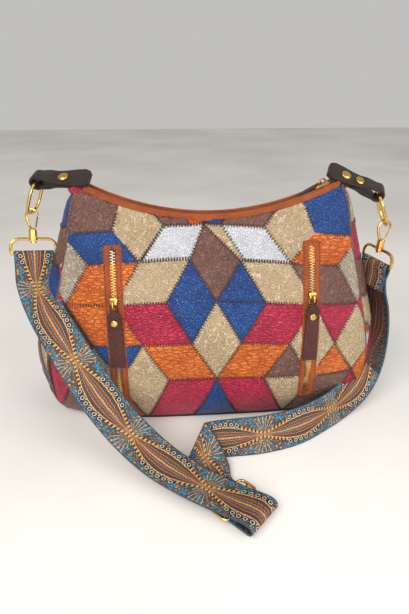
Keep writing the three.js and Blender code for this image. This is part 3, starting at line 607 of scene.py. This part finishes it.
left_start = LEFT_BAR + LEFT_FRONT * BAR_SEWN - LEFT_UP * SEWN_BELOW
left_stations = bar_wrap(LEFT_BAR, LEFT_FRONT, LEFT_UP, LEFT_ACROSS, 23)
left_stations += [
    edges_at(left_start - LEFT_UP * 8, LEFT_ACROSS),
    edges_at(left_start - LEFT_UP * 16, LEFT_ACROSS),
    edges_at((-168, -36, 131), (0.93, 0.1, 0.3)),
    edges_at((-154, -55, 116), (0.88, 0.18, 0.38)),
    edges_at((-133.5, -76, 90), (0.88, 0.3, 0.34)),
    edges_at((-109.5, -97, 60), (0.87, 0.42, 0.26)),
    edges_at((-84, -115, 35), (0.8, 0.54, 0.24)),
    edges_at((-56, -135, 19.5), (0.74, 0.65, 0.15)),
    edges_at((-27, -154, 12.8), (0.71, 0.7, 0.05)),
    edges_at((0, -171, 10.9), LOOP_ACROSS),
    edges_at(LOOP_MIDDLE + RISE * LOOP_TOP, LOOP_ACROSS),
]
turn_centre = LOOP_MIDDLE + LOOP_AWAY * 3.35 + RISE * (LOOP_TOP + LOOP_UNDER) / 2
for k in range(9):
    angle = math.pi / 2 - math.pi * k / 8
    left_stations.append(edges_at(turn_centre + LOOP_AWAY * LOOP_TURN * math.cos(angle)
                                  + RISE * LOOP_TURN * math.sin(angle), LOOP_ACROSS))
left_stations += [under_loop(back) for back in (0, 10, 20)]

right_stations = [under_loop(back) for back in (21.5, 32, 42)]
right_stations += [
    [(-27, -150, 3.6), (9.5, -128, 8)],
    [(-31, -131, 2.2), (0, -113, 20)],
    [(-29.6, -119.6, 2.3), (-10.6, -100.2, 34)],
    [(-31.4, -118.0, 1.7), (-12.4, -98.6, 33.4)],
    [(-30, -116.6, 1.2), (-11, -97.2, 33)],
    [(9, -114.5, 0.9), (13, -98, 34.6)],
    [(45, -112.5, 0.9), (47, -95, 34.8)],
    [(85, -102, 0.9), (83, -86, 35.2)],
    [(124, -80, 0.9), (117, -68, 36.4)],
    [(152, -62, 3.5), (139, -49, 37.5)],
    [(176, -49, 17), (155, -32, 44.5)],
    [(191, -37, 45), (168, -14, 61)],
    [(196, -29, 78), (177, 2, 88)],
    edges_at((187, -6.5, 112), RIGHT_ACROSS),
]
right_start = RIGHT_BAR + RIGHT_FRONT * BAR_SEWN - RIGHT_UP * SEWN_BELOW
right_stations.append(edges_at(right_start + np.array([2, 0, -14]), RIGHT_ACROSS))
right_stations += bar_wrap(RIGHT_BAR, RIGHT_FRONT, RIGHT_UP, RIGHT_ACROSS, 27)[::-1]

SEWN_TAIL = 40
# Painted shade: the front face takes the darkened print above this height and right of this x, and the back
# side takes it past UNDER_RUN_END.
SHADED_ABOVE = 46
SHADED_RIGHT_OF = 120
UNDER_RUN_END = 30


def left_paint(place, to_end, face):
    # The back side is painted with the darkened print as shade.
    return BRIGHT_SLOT if face else SHADED_SLOT


def right_paint(place, to_end, face):
    """The bright print up to the turn, and the darkened print as painted shade on the hanging run above it
    and on the back side past the under run; bright again on the sewn tail.
    """
    if face:
        shaded = place[2] > SHADED_ABOVE and place[0] > SHADED_RIGHT_OF
    else:
        shaded = place[0] >= UNDER_RUN_END
    return SHADED_SLOT if shaded and to_end >= SEWN_TAIL else BRIGHT_SLOT


strap_left, left_line, left_length = ribbon("strap_left", left_stations, 20.0, left_paint)
strap_right, right_line, right_length = ribbon("strap_right", right_stations, 30.0, right_paint)
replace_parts(strap_left, "strap_left_end", "strap_left_run", "strap_loop_end")
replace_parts(strap_right, "strap_under_run", "strap_floor_run", "strap_right_run", "strap_right_end")
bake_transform(strap_left)
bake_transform(strap_right)


# Slide buckle: a gold wire frame between the two layers of the strap
def slide_buckle():
    centre = LOOP_MIDDLE - LOOP_AWAY * 25 + RISE * 7.0
    half_wide = 22.0
    half_long = 9.2
    corner = 4.5
    frame_wire = 1.35
    bar_wire = 1.2
    line = []
    for k, (a, b) in enumerate(((1, 1), (-1, 1), (-1, -1), (1, -1))):
        for step in range(7):
            angle = math.pi / 2 * (k + step / 6)
            line.append(centre + LOOP_ACROSS * (a * (half_wide - corner) + corner * math.cos(angle))
                        + LOOP_AWAY * (b * (half_long - corner) + corner * math.sin(angle)))
    gather = Gather()
    tube(gather, line, frame_wire, closed=True)
    tube(gather, [centre - LOOP_ACROSS * half_wide, centre, centre + LOOP_ACROSS * half_wide], bar_wire)
    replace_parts(gather.make("slide_buckle_wire", [GOLD]), "strap_slide_buckle")


slide_buckle()


# Body surface
STATIONS = [0, 0.06, 0.15, 0.3, 0.5, 0.75, 0.95, 1]
HALF_WIDTH = [156, 164, 168, 168, 158, 143, 134, 128]
BODY_HALF_WIDTH = [156, 164, 168, 166, 154, 137, 128, 126]
HALF_DEPTH = [50, 57, 62, 62, 57, 40, 16, 9]
SEAM_DEPTH = [28, 33, 36, 36, 30, 20, 11, 8]
GUSSET_BULGE = [3, 8, 13, 17, 16, 12, 5, 2]
PANEL_FOOT = 2.55
PANEL_DROP = 4.6
SEWN_DROP = 6.9
ZIP_DIP = 217.0
ZIP_RADIUS = 260.0
ZIP_HALF = 126.0


def curve(values):
    places = np.array(STATIONS, float)
    values = np.array(values, float)
    slopes = np.empty_like(values)
    slopes[1:-1] = (values[2:] - values[:-2]) / (places[2:] - places[:-2])
    slopes[0] = (values[1] - values[0]) / (places[1] - places[0])
    slopes[-1] = (values[-1] - values[-2]) / (places[-1] - places[-2])

    def at(t):
        t = np.clip(np.asarray(t, float), 0, 1)
        i = np.clip(np.searchsorted(places, t, side="right") - 1, 0, len(places) - 2)
        gap = places[i + 1] - places[i]
        q = (t - places[i]) / gap
        return ((1 + 2 * q) * (1 - q) ** 2 * values[i] + q * (1 - q) ** 2 * gap * slopes[i]
                + q * q * (3 - 2 * q) * values[i + 1] + q * q * (q - 1) * gap * slopes[i + 1])

    return at


half_width = curve(HALF_WIDTH)
body_half_width = curve(BODY_HALF_WIDTH)
half_depth = curve(HALF_DEPTH)
seam_depth = curve(SEAM_DEPTH)
gusset_bulge = curve(GUSSET_BULGE)


def zip_line(x):
    return ZIP_DIP + ZIP_RADIUS - np.sqrt(ZIP_RADIUS ** 2 - np.asarray(x, float) ** 2)


LEFT_FULLER = 0.05


def left_fuller(u, t):
    return 1 + LEFT_FULLER * np.maximum(0, -u) * (1 - t)


def body_share(t, top):
    """Share of the sewn panel's height, which ends a little below the visible top edge."""
    return np.clip(t * (top - PANEL_FOOT) / (top + PANEL_DROP - SEWN_DROP - PANEL_FOOT), 0, 1)


def slack(x, z):
    """Soft swells of the middle of the panel and the pinch under the zip."""
    room = np.clip(1 - (x / 84) ** 2, 0, 1)
    swell = 1.5 * np.sin(x * 0.052 + 0.8) * np.sin(z * 0.043 + 0.4) + 0.8 * np.sin(z * 0.085 - x * 0.03)
    pinch = 3.4 * np.exp(-((x + 9) / 8) ** 2 - ((z - 207) / 17) ** 2)
    return room * swell * np.clip(z / 40, 0, 1) * np.clip((214 - z) / 25, 0, 1) - pinch


def panel_base(u, t, side):
    top = zip_line(ZIP_HALF * u) - PANEL_DROP
    share = body_share(t, top)
    wider = 1 - body_half_width(share) / half_width(share)
    turned = u * (1 + wider * (1 - u ** 6) / 0.88)
    x = u * half_width(share) * left_fuller(u, t)
    z = PANEL_FOOT + t * (top - PANEL_FOOT)
    depth = seam_depth(share) + (half_depth(share) - seam_depth(share)) * (1 - turned ** 4)
    return np.stack([x, side * (depth + slack(x * -side, z)), z], -1)


def lifted(base, first, second):
    """Normals and points of a two-parameter surface."""
    step = 1e-3
    d_first = base(np.clip(first + step, -1, 1), second) - base(np.clip(first - step, -1, 1), second)
    d_second = base(first, np.clip(second + step, 0, 1)) - base(first, np.clip(second - step, 0, 1))
    out = np.cross(d_first, d_second)
    out /= np.maximum(np.linalg.norm(out, axis=-1), 1e-9)[..., None]
    return out, base(first, second)


def panel_skin(side):
    def skin(x, z, lift=0.0):
        t = np.clip(z / 215.0, 0, 1)
        u = np.clip(x / 150.0, -1, 1)
        for _ in range(8):
            top = zip_line(ZIP_HALF * u) - PANEL_DROP
            t = np.clip((z - PANEL_FOOT) / (top - PANEL_FOOT), 0, 1)
            u = np.clip(x / (half_width(body_share(t, top)) * left_fuller(u, t)), -1, 1)
        out, spot = lifted(lambda a, b: panel_base(a, b, side), u, t)
        out = out * np.where(np.sum(out * np.array([0, side, 0]), -1) < 0, -1, 1)[..., None]
        return spot + out * np.asarray(lift)[..., None], out
    return skin


def gusset_base(side):
    def base(w, t):
        top = float(zip_line(ZIP_HALF)) - PANEL_DROP
        share = body_share(t, top)
        x = side * (half_width(share) * left_fuller(side, t) + gusset_bulge(share) * (1 - w ** 2))
        return np.stack([x, w * seam_depth(share), PANEL_FOOT + t * (top - PANEL_FOOT)], -1)
    return base


def gusset_skin(side):
    base = gusset_base(side)

    def skin(y, z, lift=0.0):
        top = float(zip_line(ZIP_HALF)) - PANEL_DROP
        t = np.clip((z - PANEL_FOOT) / (top - PANEL_FOOT), 0, 1)
        w = np.clip(y / seam_depth(body_share(t, top)), -1, 1)
        out, spot = lifted(base, w, t)
        out = out * np.where(np.sum(out * np.array([side, 0, 0]), -1) < 0, -1, 1)[..., None]
        return spot + out * np.asarray(lift)[..., None], out
    return skin


# Quilt of leather rhombi
COLUMN = 24.9
COLUMN_START = 2.0
POCKET_X = 98.0
ROW_SAG = 4.0
ROW_TILT = 0.027
ROW_HEIGHT = [3.0, 59.0, 99.5, 140.3, 178.4, 207.5, 247.0, 290.0]
STITCH_PITCH = 2.7
STITCH_REACH = 1.7
STITCH_SLANT = 0.35
STITCH_LIFT = 0.95
EDGE_STEPS = np.array([0, 0.02, 0.05, 0.1, 0.18, 0.3, 0.42, 0.5, 0.58, 0.7, 0.82, 0.9, 0.95, 0.98, 1])


def lattice(column, row):
    x = COLUMN_START + np.asarray(column, float) * COLUMN
    z = np.interp(row, np.arange(len(ROW_HEIGHT)), ROW_HEIGHT)
    fade = np.clip(np.asarray(row, float) / 2, 0, 1)
    return x, z - fade * (ROW_SAG * (x / POCKET_X) ** 2 + ROW_TILT * x)


def quilt(name, skin, patches, place, blocked, node):
    """Crowned patches sewn edge to edge over a dark backing."""
    names = list(dict.fromkeys(key for key, _ in patches))
    gather = Gather()
    seams = {}
    for key, corners in patches:
        corners = list(corners)
        if len(corners) == 3:
            corners.append(corners[2])
        grid = np.array(corners, float)
        a, b = np.meshgrid(EDGE_STEPS, EDGE_STEPS, indexing="ij")
        a = a[..., None]
        b = b[..., None]
        spot = ((1 - a) * (1 - b) * grid[0] + a * (1 - b) * grid[1] + a * b * grid[2] + (1 - a) * b * grid[3])
        h, z = place(spot[..., 0], spot[..., 1])
        near = np.minimum(np.minimum(a, 1 - a), np.minimum(b, 1 - b))[..., 0] * 46
        pillow = (16 * a * (1 - a) * b * (1 - b))[..., 0]
        ripple = 0.2 * np.sin(h * 0.21 + z * 0.13) * np.sin(z * 0.17 - h * 0.07) * np.clip(near / 6, 0, 1)
        lift = 0.1 + 0.8 * (1 - np.exp(-near / 1.6)) + 0.5 * pillow + ripple
        points, _ = skin(h, z, lift)
        faces = sheet_faces(len(EDGE_STEPS), len(EDGE_STEPS))
        m = len(EDGE_STEPS) // 2
        facing = np.cross(points[m + 1, m] - points[m, m], points[m, m + 1] - points[m, m])
        outward = skin(h[m, m], z[m, m], np.float64(0))[1]
        if np.dot(facing, outward) < 0:
            faces = [face[::-1] for face in faces]
        gather.add(points, faces, names.index(key))
        for i in range(len(corners)):
            ends = tuple(sorted([tuple(corners[i]), tuple(corners[(i + 1) % 4])]))
            if ends[0] != ends[1]:
                seams[ends] = True
    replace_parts(gather.make(name + "_patches", [LEATHER[key] for key in names]), node)

    stitches = Gather()
    for first, last in seams:
        start = np.array(place(*first))
        end = np.array(place(*last))
        length = np.linalg.norm(end - start)
        if length < 6:
            continue
        along = (end - start) / length
        side = np.array([-along[1], along[0]])
        count = int(length / STITCH_PITCH)
        q = (np.arange(count) + 0.5) / count
        columns = np.array(first)[None, :] + (np.array(last) - np.array(first))[None, :] * q[:, None]
        h, z = place(columns[:, 0], columns[:, 1])
        keep = ~blocked(h, z)
        slant = np.where(np.arange(count) % 2 == 0, STITCH_SLANT, -STITCH_SLANT)
        over_h = side[0] * STITCH_REACH + along[0] * slant
        over_z = side[1] * STITCH_REACH + along[1] * slant
        lift = np.full(count, STITCH_LIFT)
        low, out = skin(h - over_h, z - over_z, lift)
        high, _ = skin(h + over_h, z + over_z, lift)
        threads(stitches, low[keep], high[keep], out[keep], 0.5)
    stitches.make(name + "_stitches", [THREAD])


def panel_blocked(x, z):
    """Where the panel's edges leave no room for a stitch."""
    top = zip_line(ZIP_HALF * np.clip(x / 150, -1, 1)) - PANEL_DROP
    return (z < 6) | (z > top - 2) | (np.abs(x) > half_width(np.clip(z / 225, 0, 1)) - 3)


def front_blocked(x, z):
    in_zip = (np.abs(np.abs(x) - POCKET_X) < 12) & (z > 20) & (z < 205)
    return in_zip | panel_blocked(x, z)


FRONT_PATCHES = [
    ("brown", [(-0.4, 5), (1, 4), (0, 3), (-1, 4)]),
    ("white", [(-2, 5), (-0.4, 5), (-1, 4), (-2.9, 4)]),
    ("white", [(0.3, 5), (2, 5), (3, 4), (1.15, 4)]),
    ("beige", [(-0.4, 5), (0.3, 5), (1.15, 4), (1, 4)]),
    ("blue", [(-1, 4), (0, 3), (-1, 2), (-2, 3)]),
    ("blue", [(1, 4), (2, 3), (0, 3)]),
    ("blue", [(2, 3), (1, 2), (0, 3)]),
    ("beige", [(0, 3), (1, 2), (0, 1), (-1, 2)]),
    ("beige", [(-3, 4), (-1, 4), (-2, 3), (-4, 3)]),
    ("beige", [(1, 4), (3, 4), (4, 3), (2, 3)]),
    ("crimson", [(-4, 3), (-2, 3), (-1, 2), (-3, 2)]),
    ("crimson", [(2, 3), (4, 3), (3, 2), (1, 2)]),
    ("orange", [(-3, 2), (-1, 2), (0, 1), (-2, 1)]),
    ("orange", [(1, 2), (3, 2), (2, 1), (0, 1)]),
    ("crimson", [(-2, 1), (0, 1), (-1, 0), (-3, 0)]),
    ("crimson", [(0, 1), (2, 1), (3, 0), (1, 0)]),
    ("blue", [(0, 1), (1, 0), (-1, 0)]),
    ("beige", [(-3, 2), (-2, 1), (-3, 0), (-4, 1)]),
    ("beige", [(2, 1), (4, 1), (3, 0)]),
    ("brown", [(3, 2), (4, 1), (2, 1)]),
    ("blue", [(-3, 2), (-4, 1), (-5, 2)]),
    ("beige", [(4, 3), (5, 2), (4, 1), (3, 2)]),
    ("brown", [(-6, 6.8), (-3.4, 6.1), (-4, 5), (-6, 5)]),
    ("blue", [(-6, 5), (-4, 5), (-3, 4), (-5, 4)]),
    ("beige", [(-3.4, 6.1), (-2, 5), (-3, 4), (-4, 5)]),
    ("brown", [(-2, 5), (-3.4, 6.1), (-1.2, 5.5), (-1, 5)]),
    ("orange", [(-1, 5), (-1.2, 5.5), (-0.2, 5.5), (-0.4, 5)]),
    ("blue", [(-0.4, 5), (-0.2, 5.5), (0.6, 5.5), (0.3, 5)]),
    ("orange", [(-5, 4), (-3, 4), (-4, 3), (-6, 3)]),
    ("orange", [(-6, 3), (-4, 3), (-3, 2), (-5, 2)]),
    ("grey", [(-6, 5), (-5, 4), (-6, 3), (-7, 4)]),
    ("beige", [(3.3, 6.1), (4, 5), (3, 4), (2, 5)]),
    ("brown", [(0.3, 5), (0.6, 5.5), (3.3, 6.1), (2, 5)]),
    ("blue", [(3.3, 6.1), (6, 6.8), (6, 5), (4, 5)]),
    ("orange", [(4, 5), (6, 5), (5, 4), (3, 4)]),
    ("brown", [(3, 4), (5, 4), (6, 3), (4, 3)]),
    ("grey", [(6, 5), (7, 4), (6, 3), (5, 4)]),
    ("crimson", [(4, 3), (6, 3), (5, 2)]),
    ("beige", [(6, 3), (7, 2), (6, 1), (5, 2)]),
    ("orange", [(5, 2), (6, 1), (4, 1)]),
    ("brown", [(4, 1), (6, 1), (5, 0), (3, 0)]),
    ("crimson", [(6, 1), (7, 0), (5, 0)]),
    ("grey", [(-5, 2), (-4, 1), (-5, 0), (-6, 1)]),
    ("tan", [(-4, 1), (-3, 0), (-5, 0)]),
    ("brown", [(-6, 1), (-5, 0), (-7, 0)]),
    ("brown", [(-6, 3), (-5, 2), (-6, 1), (-7, 2)]),
    ("crimson", [(-7, 2), (-6, 1), (-7, 0)]),
    ("crimson", [(-7, 4), (-6, 3), (-7, 2)]),
    ("crimson", [(7, 4), (6, 3), (7, 2)]),
    ("orange", [(7, 2), (6, 1), (7, 0)]),
]


def leaning(columns, colours, shift):
    """Six rows of leaning rhombi, turned about in each row."""
    made = []
    for row in range(6):
        odd = row % 2
        for k in range(-columns, columns, 2):
            left = k if odd else k + 1
            above = left + (1 if odd else -1)
            colour = colours[(k // 2 * 3 + row * 2 + shift) % len(colours)]
            made.append((colour, [(left, row), (left + 2, row), (above + 2, row + 1), (above, row + 1)]))
    return made


GUSSET_COLUMN = 21.0
GUSSET_ROWS = [3, 48, 90, 130, 170, 208, 248]


def gusset_lattice(start):
    def place(column, row):
        z = np.interp(row, np.arange(len(GUSSET_ROWS)), GUSSET_ROWS)
        return start + np.asarray(column, float) * GUSSET_COLUMN, z
    return place


def gusset_blocked(y, z):
    return (np.abs(y) > seam_depth(np.clip(z / 245, 0, 1)) - 3) | (z < 6) | (z > 236)


BACK_COLOURS = ["blue", "beige", "crimson", "orange", "brown", "beige", "white", "crimson", "grey", "orange"]
LEFT_COLOURS = ["crimson", "blue", "beige", "blue", "crimson", "brown"]
RIGHT_COLOURS = ["orange", "crimson", "brown", "beige", "white", "brown"]

quilt("front", panel_skin(-1), FRONT_PATCHES, lattice, front_blocked, "front_panel")
quilt("back", panel_skin(1), leaning(9, BACK_COLOURS, 1), lattice, panel_blocked, "back_panel")
quilt("left_gusset", gusset_skin(-1), leaning(4, LEFT_COLOURS, 0), gusset_lattice(4.0), gusset_blocked,
      "left_gusset")
quilt("right_gusset", gusset_skin(1), leaning(4, RIGHT_COLOURS, 2), gusset_lattice(-3.0), gusset_blocked,
      "right_gusset")


def backing(name, base, wide, high=50):
    """Continuous dark leather just under the patches, as a grid of wide by high points."""
    first, second = np.meshgrid(np.linspace(-1, 1, wide), np.linspace(0, 1, high), indexing="ij")
    mesh_object(name, base(first, second).reshape(-1, 3), sheet_faces(wide, high), [LEATHER["base"]])


backing("front_backing", lambda u, t: panel_base(u, t, -1), 60)
backing("back_backing", lambda u, t: panel_base(u, t, 1), 60)
backing("left_gusset_backing", gusset_base(-1), 24)
backing("right_gusset_backing", gusset_base(1), 24)


# Piping along the corner seams
PIPING_RADIUS = 1.5
PIPING_STEPS = 70

for side in (-1, 1):
    for face in (-1, 1):
        gather = Gather()
        seam = panel_base(np.full(PIPING_STEPS, float(side)), np.linspace(0, 1, PIPING_STEPS), face)
        tube(gather, seam, PIPING_RADIUS, 10)
        gather.make(f"seam_piping_{side}_{face}", [LEATHER["brown"]])


# Pocket zips: tan leather on both sides of a row of gold teeth
ZIP_LOW = 28.0
ZIP_HIGH = 194.0
PLACKET_HALF = 9.2
PLACKET_LIFT = 1.75
CHANNEL_HALF = 3.1
TOOTH_PITCH = 1.25
TOOTH_SHIFT = 0.95
TOOTH_SIZE = (0.95, 3.3, 0.9)
SEWING_PITCH = 3.2
SEWING_LENGTH = 2.0


def pocket_zip(label, side):
    skin = panel_skin(-1)
    middle = side * POCKET_X
    ends = np.array([0, 0.5, 1.5, 3, 4.5, 5.2])
    z = np.concatenate([ZIP_LOW + ends, np.linspace(ZIP_LOW + 7, ZIP_HIGH - 7, 70), ZIP_HIGH - ends[::-1]])
    end = np.minimum(z - ZIP_LOW, ZIP_HIGH - z)
    outer = PLACKET_HALF - 2.0 * np.clip(1 - end / 3, 0, 1) ** 2
    inner = CHANNEL_HALF * np.clip((end - 4.2) / 1.2, 0.02, 1)
    sink = np.clip(end / 1.2, 0, 1)
    columns = []
    for sign in (-1, 1):
        profile = [(outer, 0.2), (outer - 0.25, 1.35), (outer - 0.9, PLACKET_LIFT),
                   (inner + 0.7, PLACKET_LIFT), (inner + 0.15, 1.4), (inner, 0.6)]
        if sign == 1:
            profile = profile[::-1]
        for half, lift in profile:
            columns.append(skin(middle + sign * half, z, 0.2 + (lift - 0.2) * sink)[0])
    channel = len(columns) // 2 - 1
    slots = np.repeat(np.arange(len(columns) - 1) == channel, len(z) - 1)
    placket = mesh_object(label + "_zip_placket", np.concatenate(columns), sheet_faces(len(columns), len(z)),
                          [LEATHER["tan"], TAPE], "bag", slots)
    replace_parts(placket, label + "_zip_tape")

    teeth = Gather()
    spots = np.arange(ZIP_LOW + 6, ZIP_HIGH - 6, TOOTH_PITCH)
    base, out = skin(np.full(len(spots), middle), spots, np.full(len(spots), 0.95))
    along = np.gradient(base, axis=0)
    for i in range(len(spots)):
        run = unit(along[i])
        sideways = unit(np.cross(out[i], run))
        shift = TOOTH_SHIFT if i % 2 else -TOOTH_SHIFT
        block(teeth, base[i] + sideways * shift, run, sideways, out[i], TOOTH_SIZE)
    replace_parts(teeth.make(label + "_zip_teeth", [TEETH], "bag", False), label + "_zip_chain")

    sewing = Gather()
    spots = np.arange(ZIP_LOW + 2, ZIP_HIGH - 3, SEWING_PITCH)
    lift = np.full(len(spots), PLACKET_LIFT)
    for offset in (-PLACKET_HALF + 1.5, PLACKET_HALF - 1.5):
        x = np.full(len(spots), middle + offset)
        low, out = skin(x, spots, lift)
        high, _ = skin(x, spots + SEWING_LENGTH, lift)
        threads(sewing, low, high, out, 0.3)
    sewing.make(label + "_zip_sewing", [THREAD])


pocket_zip("left", -1)
pocket_zip("right", 1)


# Pocket sliders: a flared gold body with a wire bail for the pull
def pocket_slider(label, side):
    def turned(vector):
        return np.array([-side * vector[0], vector[1], vector[2]])

    base = turned((-98.100, -46.167, 140.369))
    across = turned((0.98967, -0.13724, 0.04134))
    up = turned((0.0, 0.28842, 0.95750))
    out = turned((-0.14333, -0.94762, 0.28544))
    gather = Gather()
    outline = [(-0.8, 2.6), (0.2, 3.2), (2.0, 3.6), (4.2, 4.3), (5.9, 4.1), (6.6, 3.1)]
    loop = outline + [(along, -wide) for along, wide in outline[::-1]]
    points = []
    layers = [(1.75, 1.0), (2.7, 1.0), (3.3, 0.86), (3.45, 0.6)]
    for height, shrink in layers:
        points += [base + up * along * shrink + across * wide * shrink + out * height for along, wide in loop]
    gather.add(points, ring_faces(len(layers), len(loop)) + end_faces(len(layers), len(loop)))
    bail = [(3.6, 3.2), (3.2, 5.4), (0.8, 6.8), (-2.2, 6.3), (-3.79, 4.8), (-2.6, 3.3), (-0.4, 2.7)]
    tube(gather, through([base + up * along + out * height for along, height in bail], 0.6), 0.95, 10)
    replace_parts(gather.make(label + "_slider_metal", [GOLD], label + "_pocket_slider"), label + "_slider")


pocket_slider("left", -1)
pocket_slider("right", 1)


# Corner tabs: a leather strap folded around its ring, leaning forward
TAB_WIDE = 21.0
TAB_NARROW = 15.0
TAB_LEATHER = 2.4
TUNNEL_RADIUS = 5.8
TAB_LEAN = 34
TAB_TWIST = 16
RIVET_DOME = [(0, -0.5), (5.0, -0.4), (5.2, 0.3), (4.6, 0.9), (3.0, 1.5), (1.2, 1.75), (0, 1.8)]


CORNER_SIZE = np.array([9.5, 9.0, 8.0])


def corner_leather(label, seat, colour):
    """A rounded scrap of leather under the tab, at the top of the corner."""
    centre = seat + np.array([math.copysign(4.0, seat[0]), 1.0, -9.0])
    rings = 13
    sides = 20
    flat = circle(np.array([1.0, 0, 0]), np.array([0, 1.0, 0]), sides)
    points = []
    for k in range(rings):
        angle = math.pi * k / (rings - 1)
        points.append(centre + (flat * max(math.sin(angle), 0.001) + RISE * math.cos(angle)) * CORNER_SIZE)
    faces = [[a, d, c, b] for a, b, c, d in ring_faces(rings, sides)]
    mesh_object(label + "_corner_leather", np.concatenate(points), faces, [LEATHER[colour]])


def corner_tab(label, seat, tunnel, toward, rivets, corner_colour):
    seat = np.array(seat, float)
    tunnel = np.array(tunnel, float)
    toward = unit(toward)
    length = np.linalg.norm(tunnel - seat)
    away = (tunnel - seat) / length

    def frame_at(a):
        tilt = math.radians(TAB_LEAN - TAB_TWIST * min(max(a / length, 0), 1))
        rise = unit(RISE - away * away[2])
        out = math.cos(tilt) * rise + math.sin(tilt) * toward
        return out, math.cos(tilt) * toward - math.sin(tilt) * rise

    upper = [(-9, 1.3), (-4, 1.4), (6, 1.5), (16, 1.7), (24, 2.4), (31, 4.3)]
    profile = list(upper)
    for k in range(11):
        angle = math.radians(118 - 236 * k / 10)
        profile.append((length + TUNNEL_RADIUS * math.cos(angle), TUNNEL_RADIUS * math.sin(angle)))
    profile += [(a, -height) for a, height in upper[::-1]]
    place = []
    halves = []
    for a, height in profile:
        out, across = frame_at(a)
        wide = np.interp(a, [-9, -6, 8, length], [TAB_WIDE - 6, TAB_WIDE, TAB_WIDE, TAB_NARROW])
        place.append(seat + away * a + out * height)
        halves.append(across * wide / 2)
    middles = through(place, 1.5)
    distance = length_along(place)
    run = length_along(middles)
    run *= distance[-1] / run[-1]
    halves = np.stack([np.interp(run, distance, column) for column in np.transpose(halves)], -1)
    outward = unit_rows(np.cross(np.gradient(middles, axis=0), halves))
    if outward[2][2] < 0:
        outward = -outward
    section = [(-1, 0.1), (-0.95, 0.45), (-0.85, 0.5), (0, 0.55), (0.85, 0.5), (0.95, 0.45), (1, 0.1),
               (1, -0.1), (0.95, -0.45), (0.85, -0.5), (0, -0.5), (-0.85, -0.5), (-0.95, -0.45), (-1, -0.1)]
    points = np.stack([middles + halves * q + outward * TAB_LEATHER * h for q, h in section], 1)
    faces = ring_faces(len(middles), len(section)) + end_faces(len(middles), len(section))
    tab = mesh_object(label + "_tab_leather", points.reshape(-1, 3), faces, [LEATHER["dark"]])
    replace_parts(tab, label + "_tab")
    for node, a in rivets:
        out, _ = frame_at(a)
        rivet = Gather()
        height = np.interp(a, *zip(*upper)) + TAB_LEATHER / 2
        lathe(rivet, seat + away * a + out * height, out, RIVET_DOME, 24)
        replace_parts(rivet.make(node + "_dome", [GOLD]), node)
    corner_leather(label, seat, corner_colour)


corner_tab("left", (-124, -3, 252.6), (-166, 7, 250), (-0.23162, -0.97281, 0),
           [("left_tab_rivet", 17)], "crimson")
corner_tab("right", (124, 0, 254), (165, -7, 236), (-0.1683, -0.98574, 0),
           [("right_tab_rivet_inner", 9), ("right_tab_rivet_outer", 24)], "brown")


# CAD pieces that keep their shape
for node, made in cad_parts.items():
    if node == "base_panel":
        looks = LEATHER["base"]
    elif node in ("lining", "left_pocket_bag", "right_pocket_bag"):
        looks = LINING
    elif "binding" in node:
        looks = LEATHER["tan"]
    elif "tape" in node:
        looks = TAPE
    elif "tab" in node and "rivet" not in node:
        looks = LEATHER["dark"]
    elif node.endswith("_pull"):
        looks = LEATHER["pull"]
    else:
        looks = GOLD
    made.data.materials.clear()
    made.data.materials.append(looks)
    if looks == GOLD:
        made.data.polygons.foreach_set("use_smooth", [True] * len(made.data.polygons))
        made.data.set_sharp_from_angle(angle=math.radians(48))


# Floor and light
floor_mesh = bpy.data.meshes.new("floor")
floor_mesh.from_pydata([(-3, -3, 0), (3, -3, 0), (3, 3, 0), (-3, 3, 0)], [], [[0, 1, 2, 3]])
floor_mesh.materials.append(plain("pale_floor", (226, 222, 216), 0.8, 0.0, 2.0, 0.0))
floor = bpy.data.objects.new("floor", floor_mesh)
scene.collection.objects.link(floor)


def area_light(name, place, target, size, power, colour):
    light = bpy.data.lights.new(name, "AREA")
    light.size = size
    light.energy = power
    light.color = colour
    made = bpy.data.objects.new(name, light)
    made.location = place
    made.rotation_euler = (Vector(target) - Vector(place)).to_track_quat("-Z", "Y").to_euler()
    scene.collection.objects.link(made)


area_light("window", (-0.7, -0.9, 1.3), (0, 0, 0.1), 0.9, 14, (1.0, 0.98, 0.95))
area_light("low", (-0.1, -1.1, 0.35), (0, 0, 0.08), 0.7, 6, (1.0, 0.99, 0.97))
area_light("fill", (0.9, -0.8, 0.8), (0, 0, 0.1), 0.9, 8, (0.97, 0.98, 1.0))
world = bpy.data.worlds.new("room")
scene.world = world
world.use_nodes = True
world.node_tree.nodes["Background"].inputs[0].default_value = (0.86, 0.85, 0.84, 1)
world.node_tree.nodes["Background"].inputs[1].default_value = 0.62
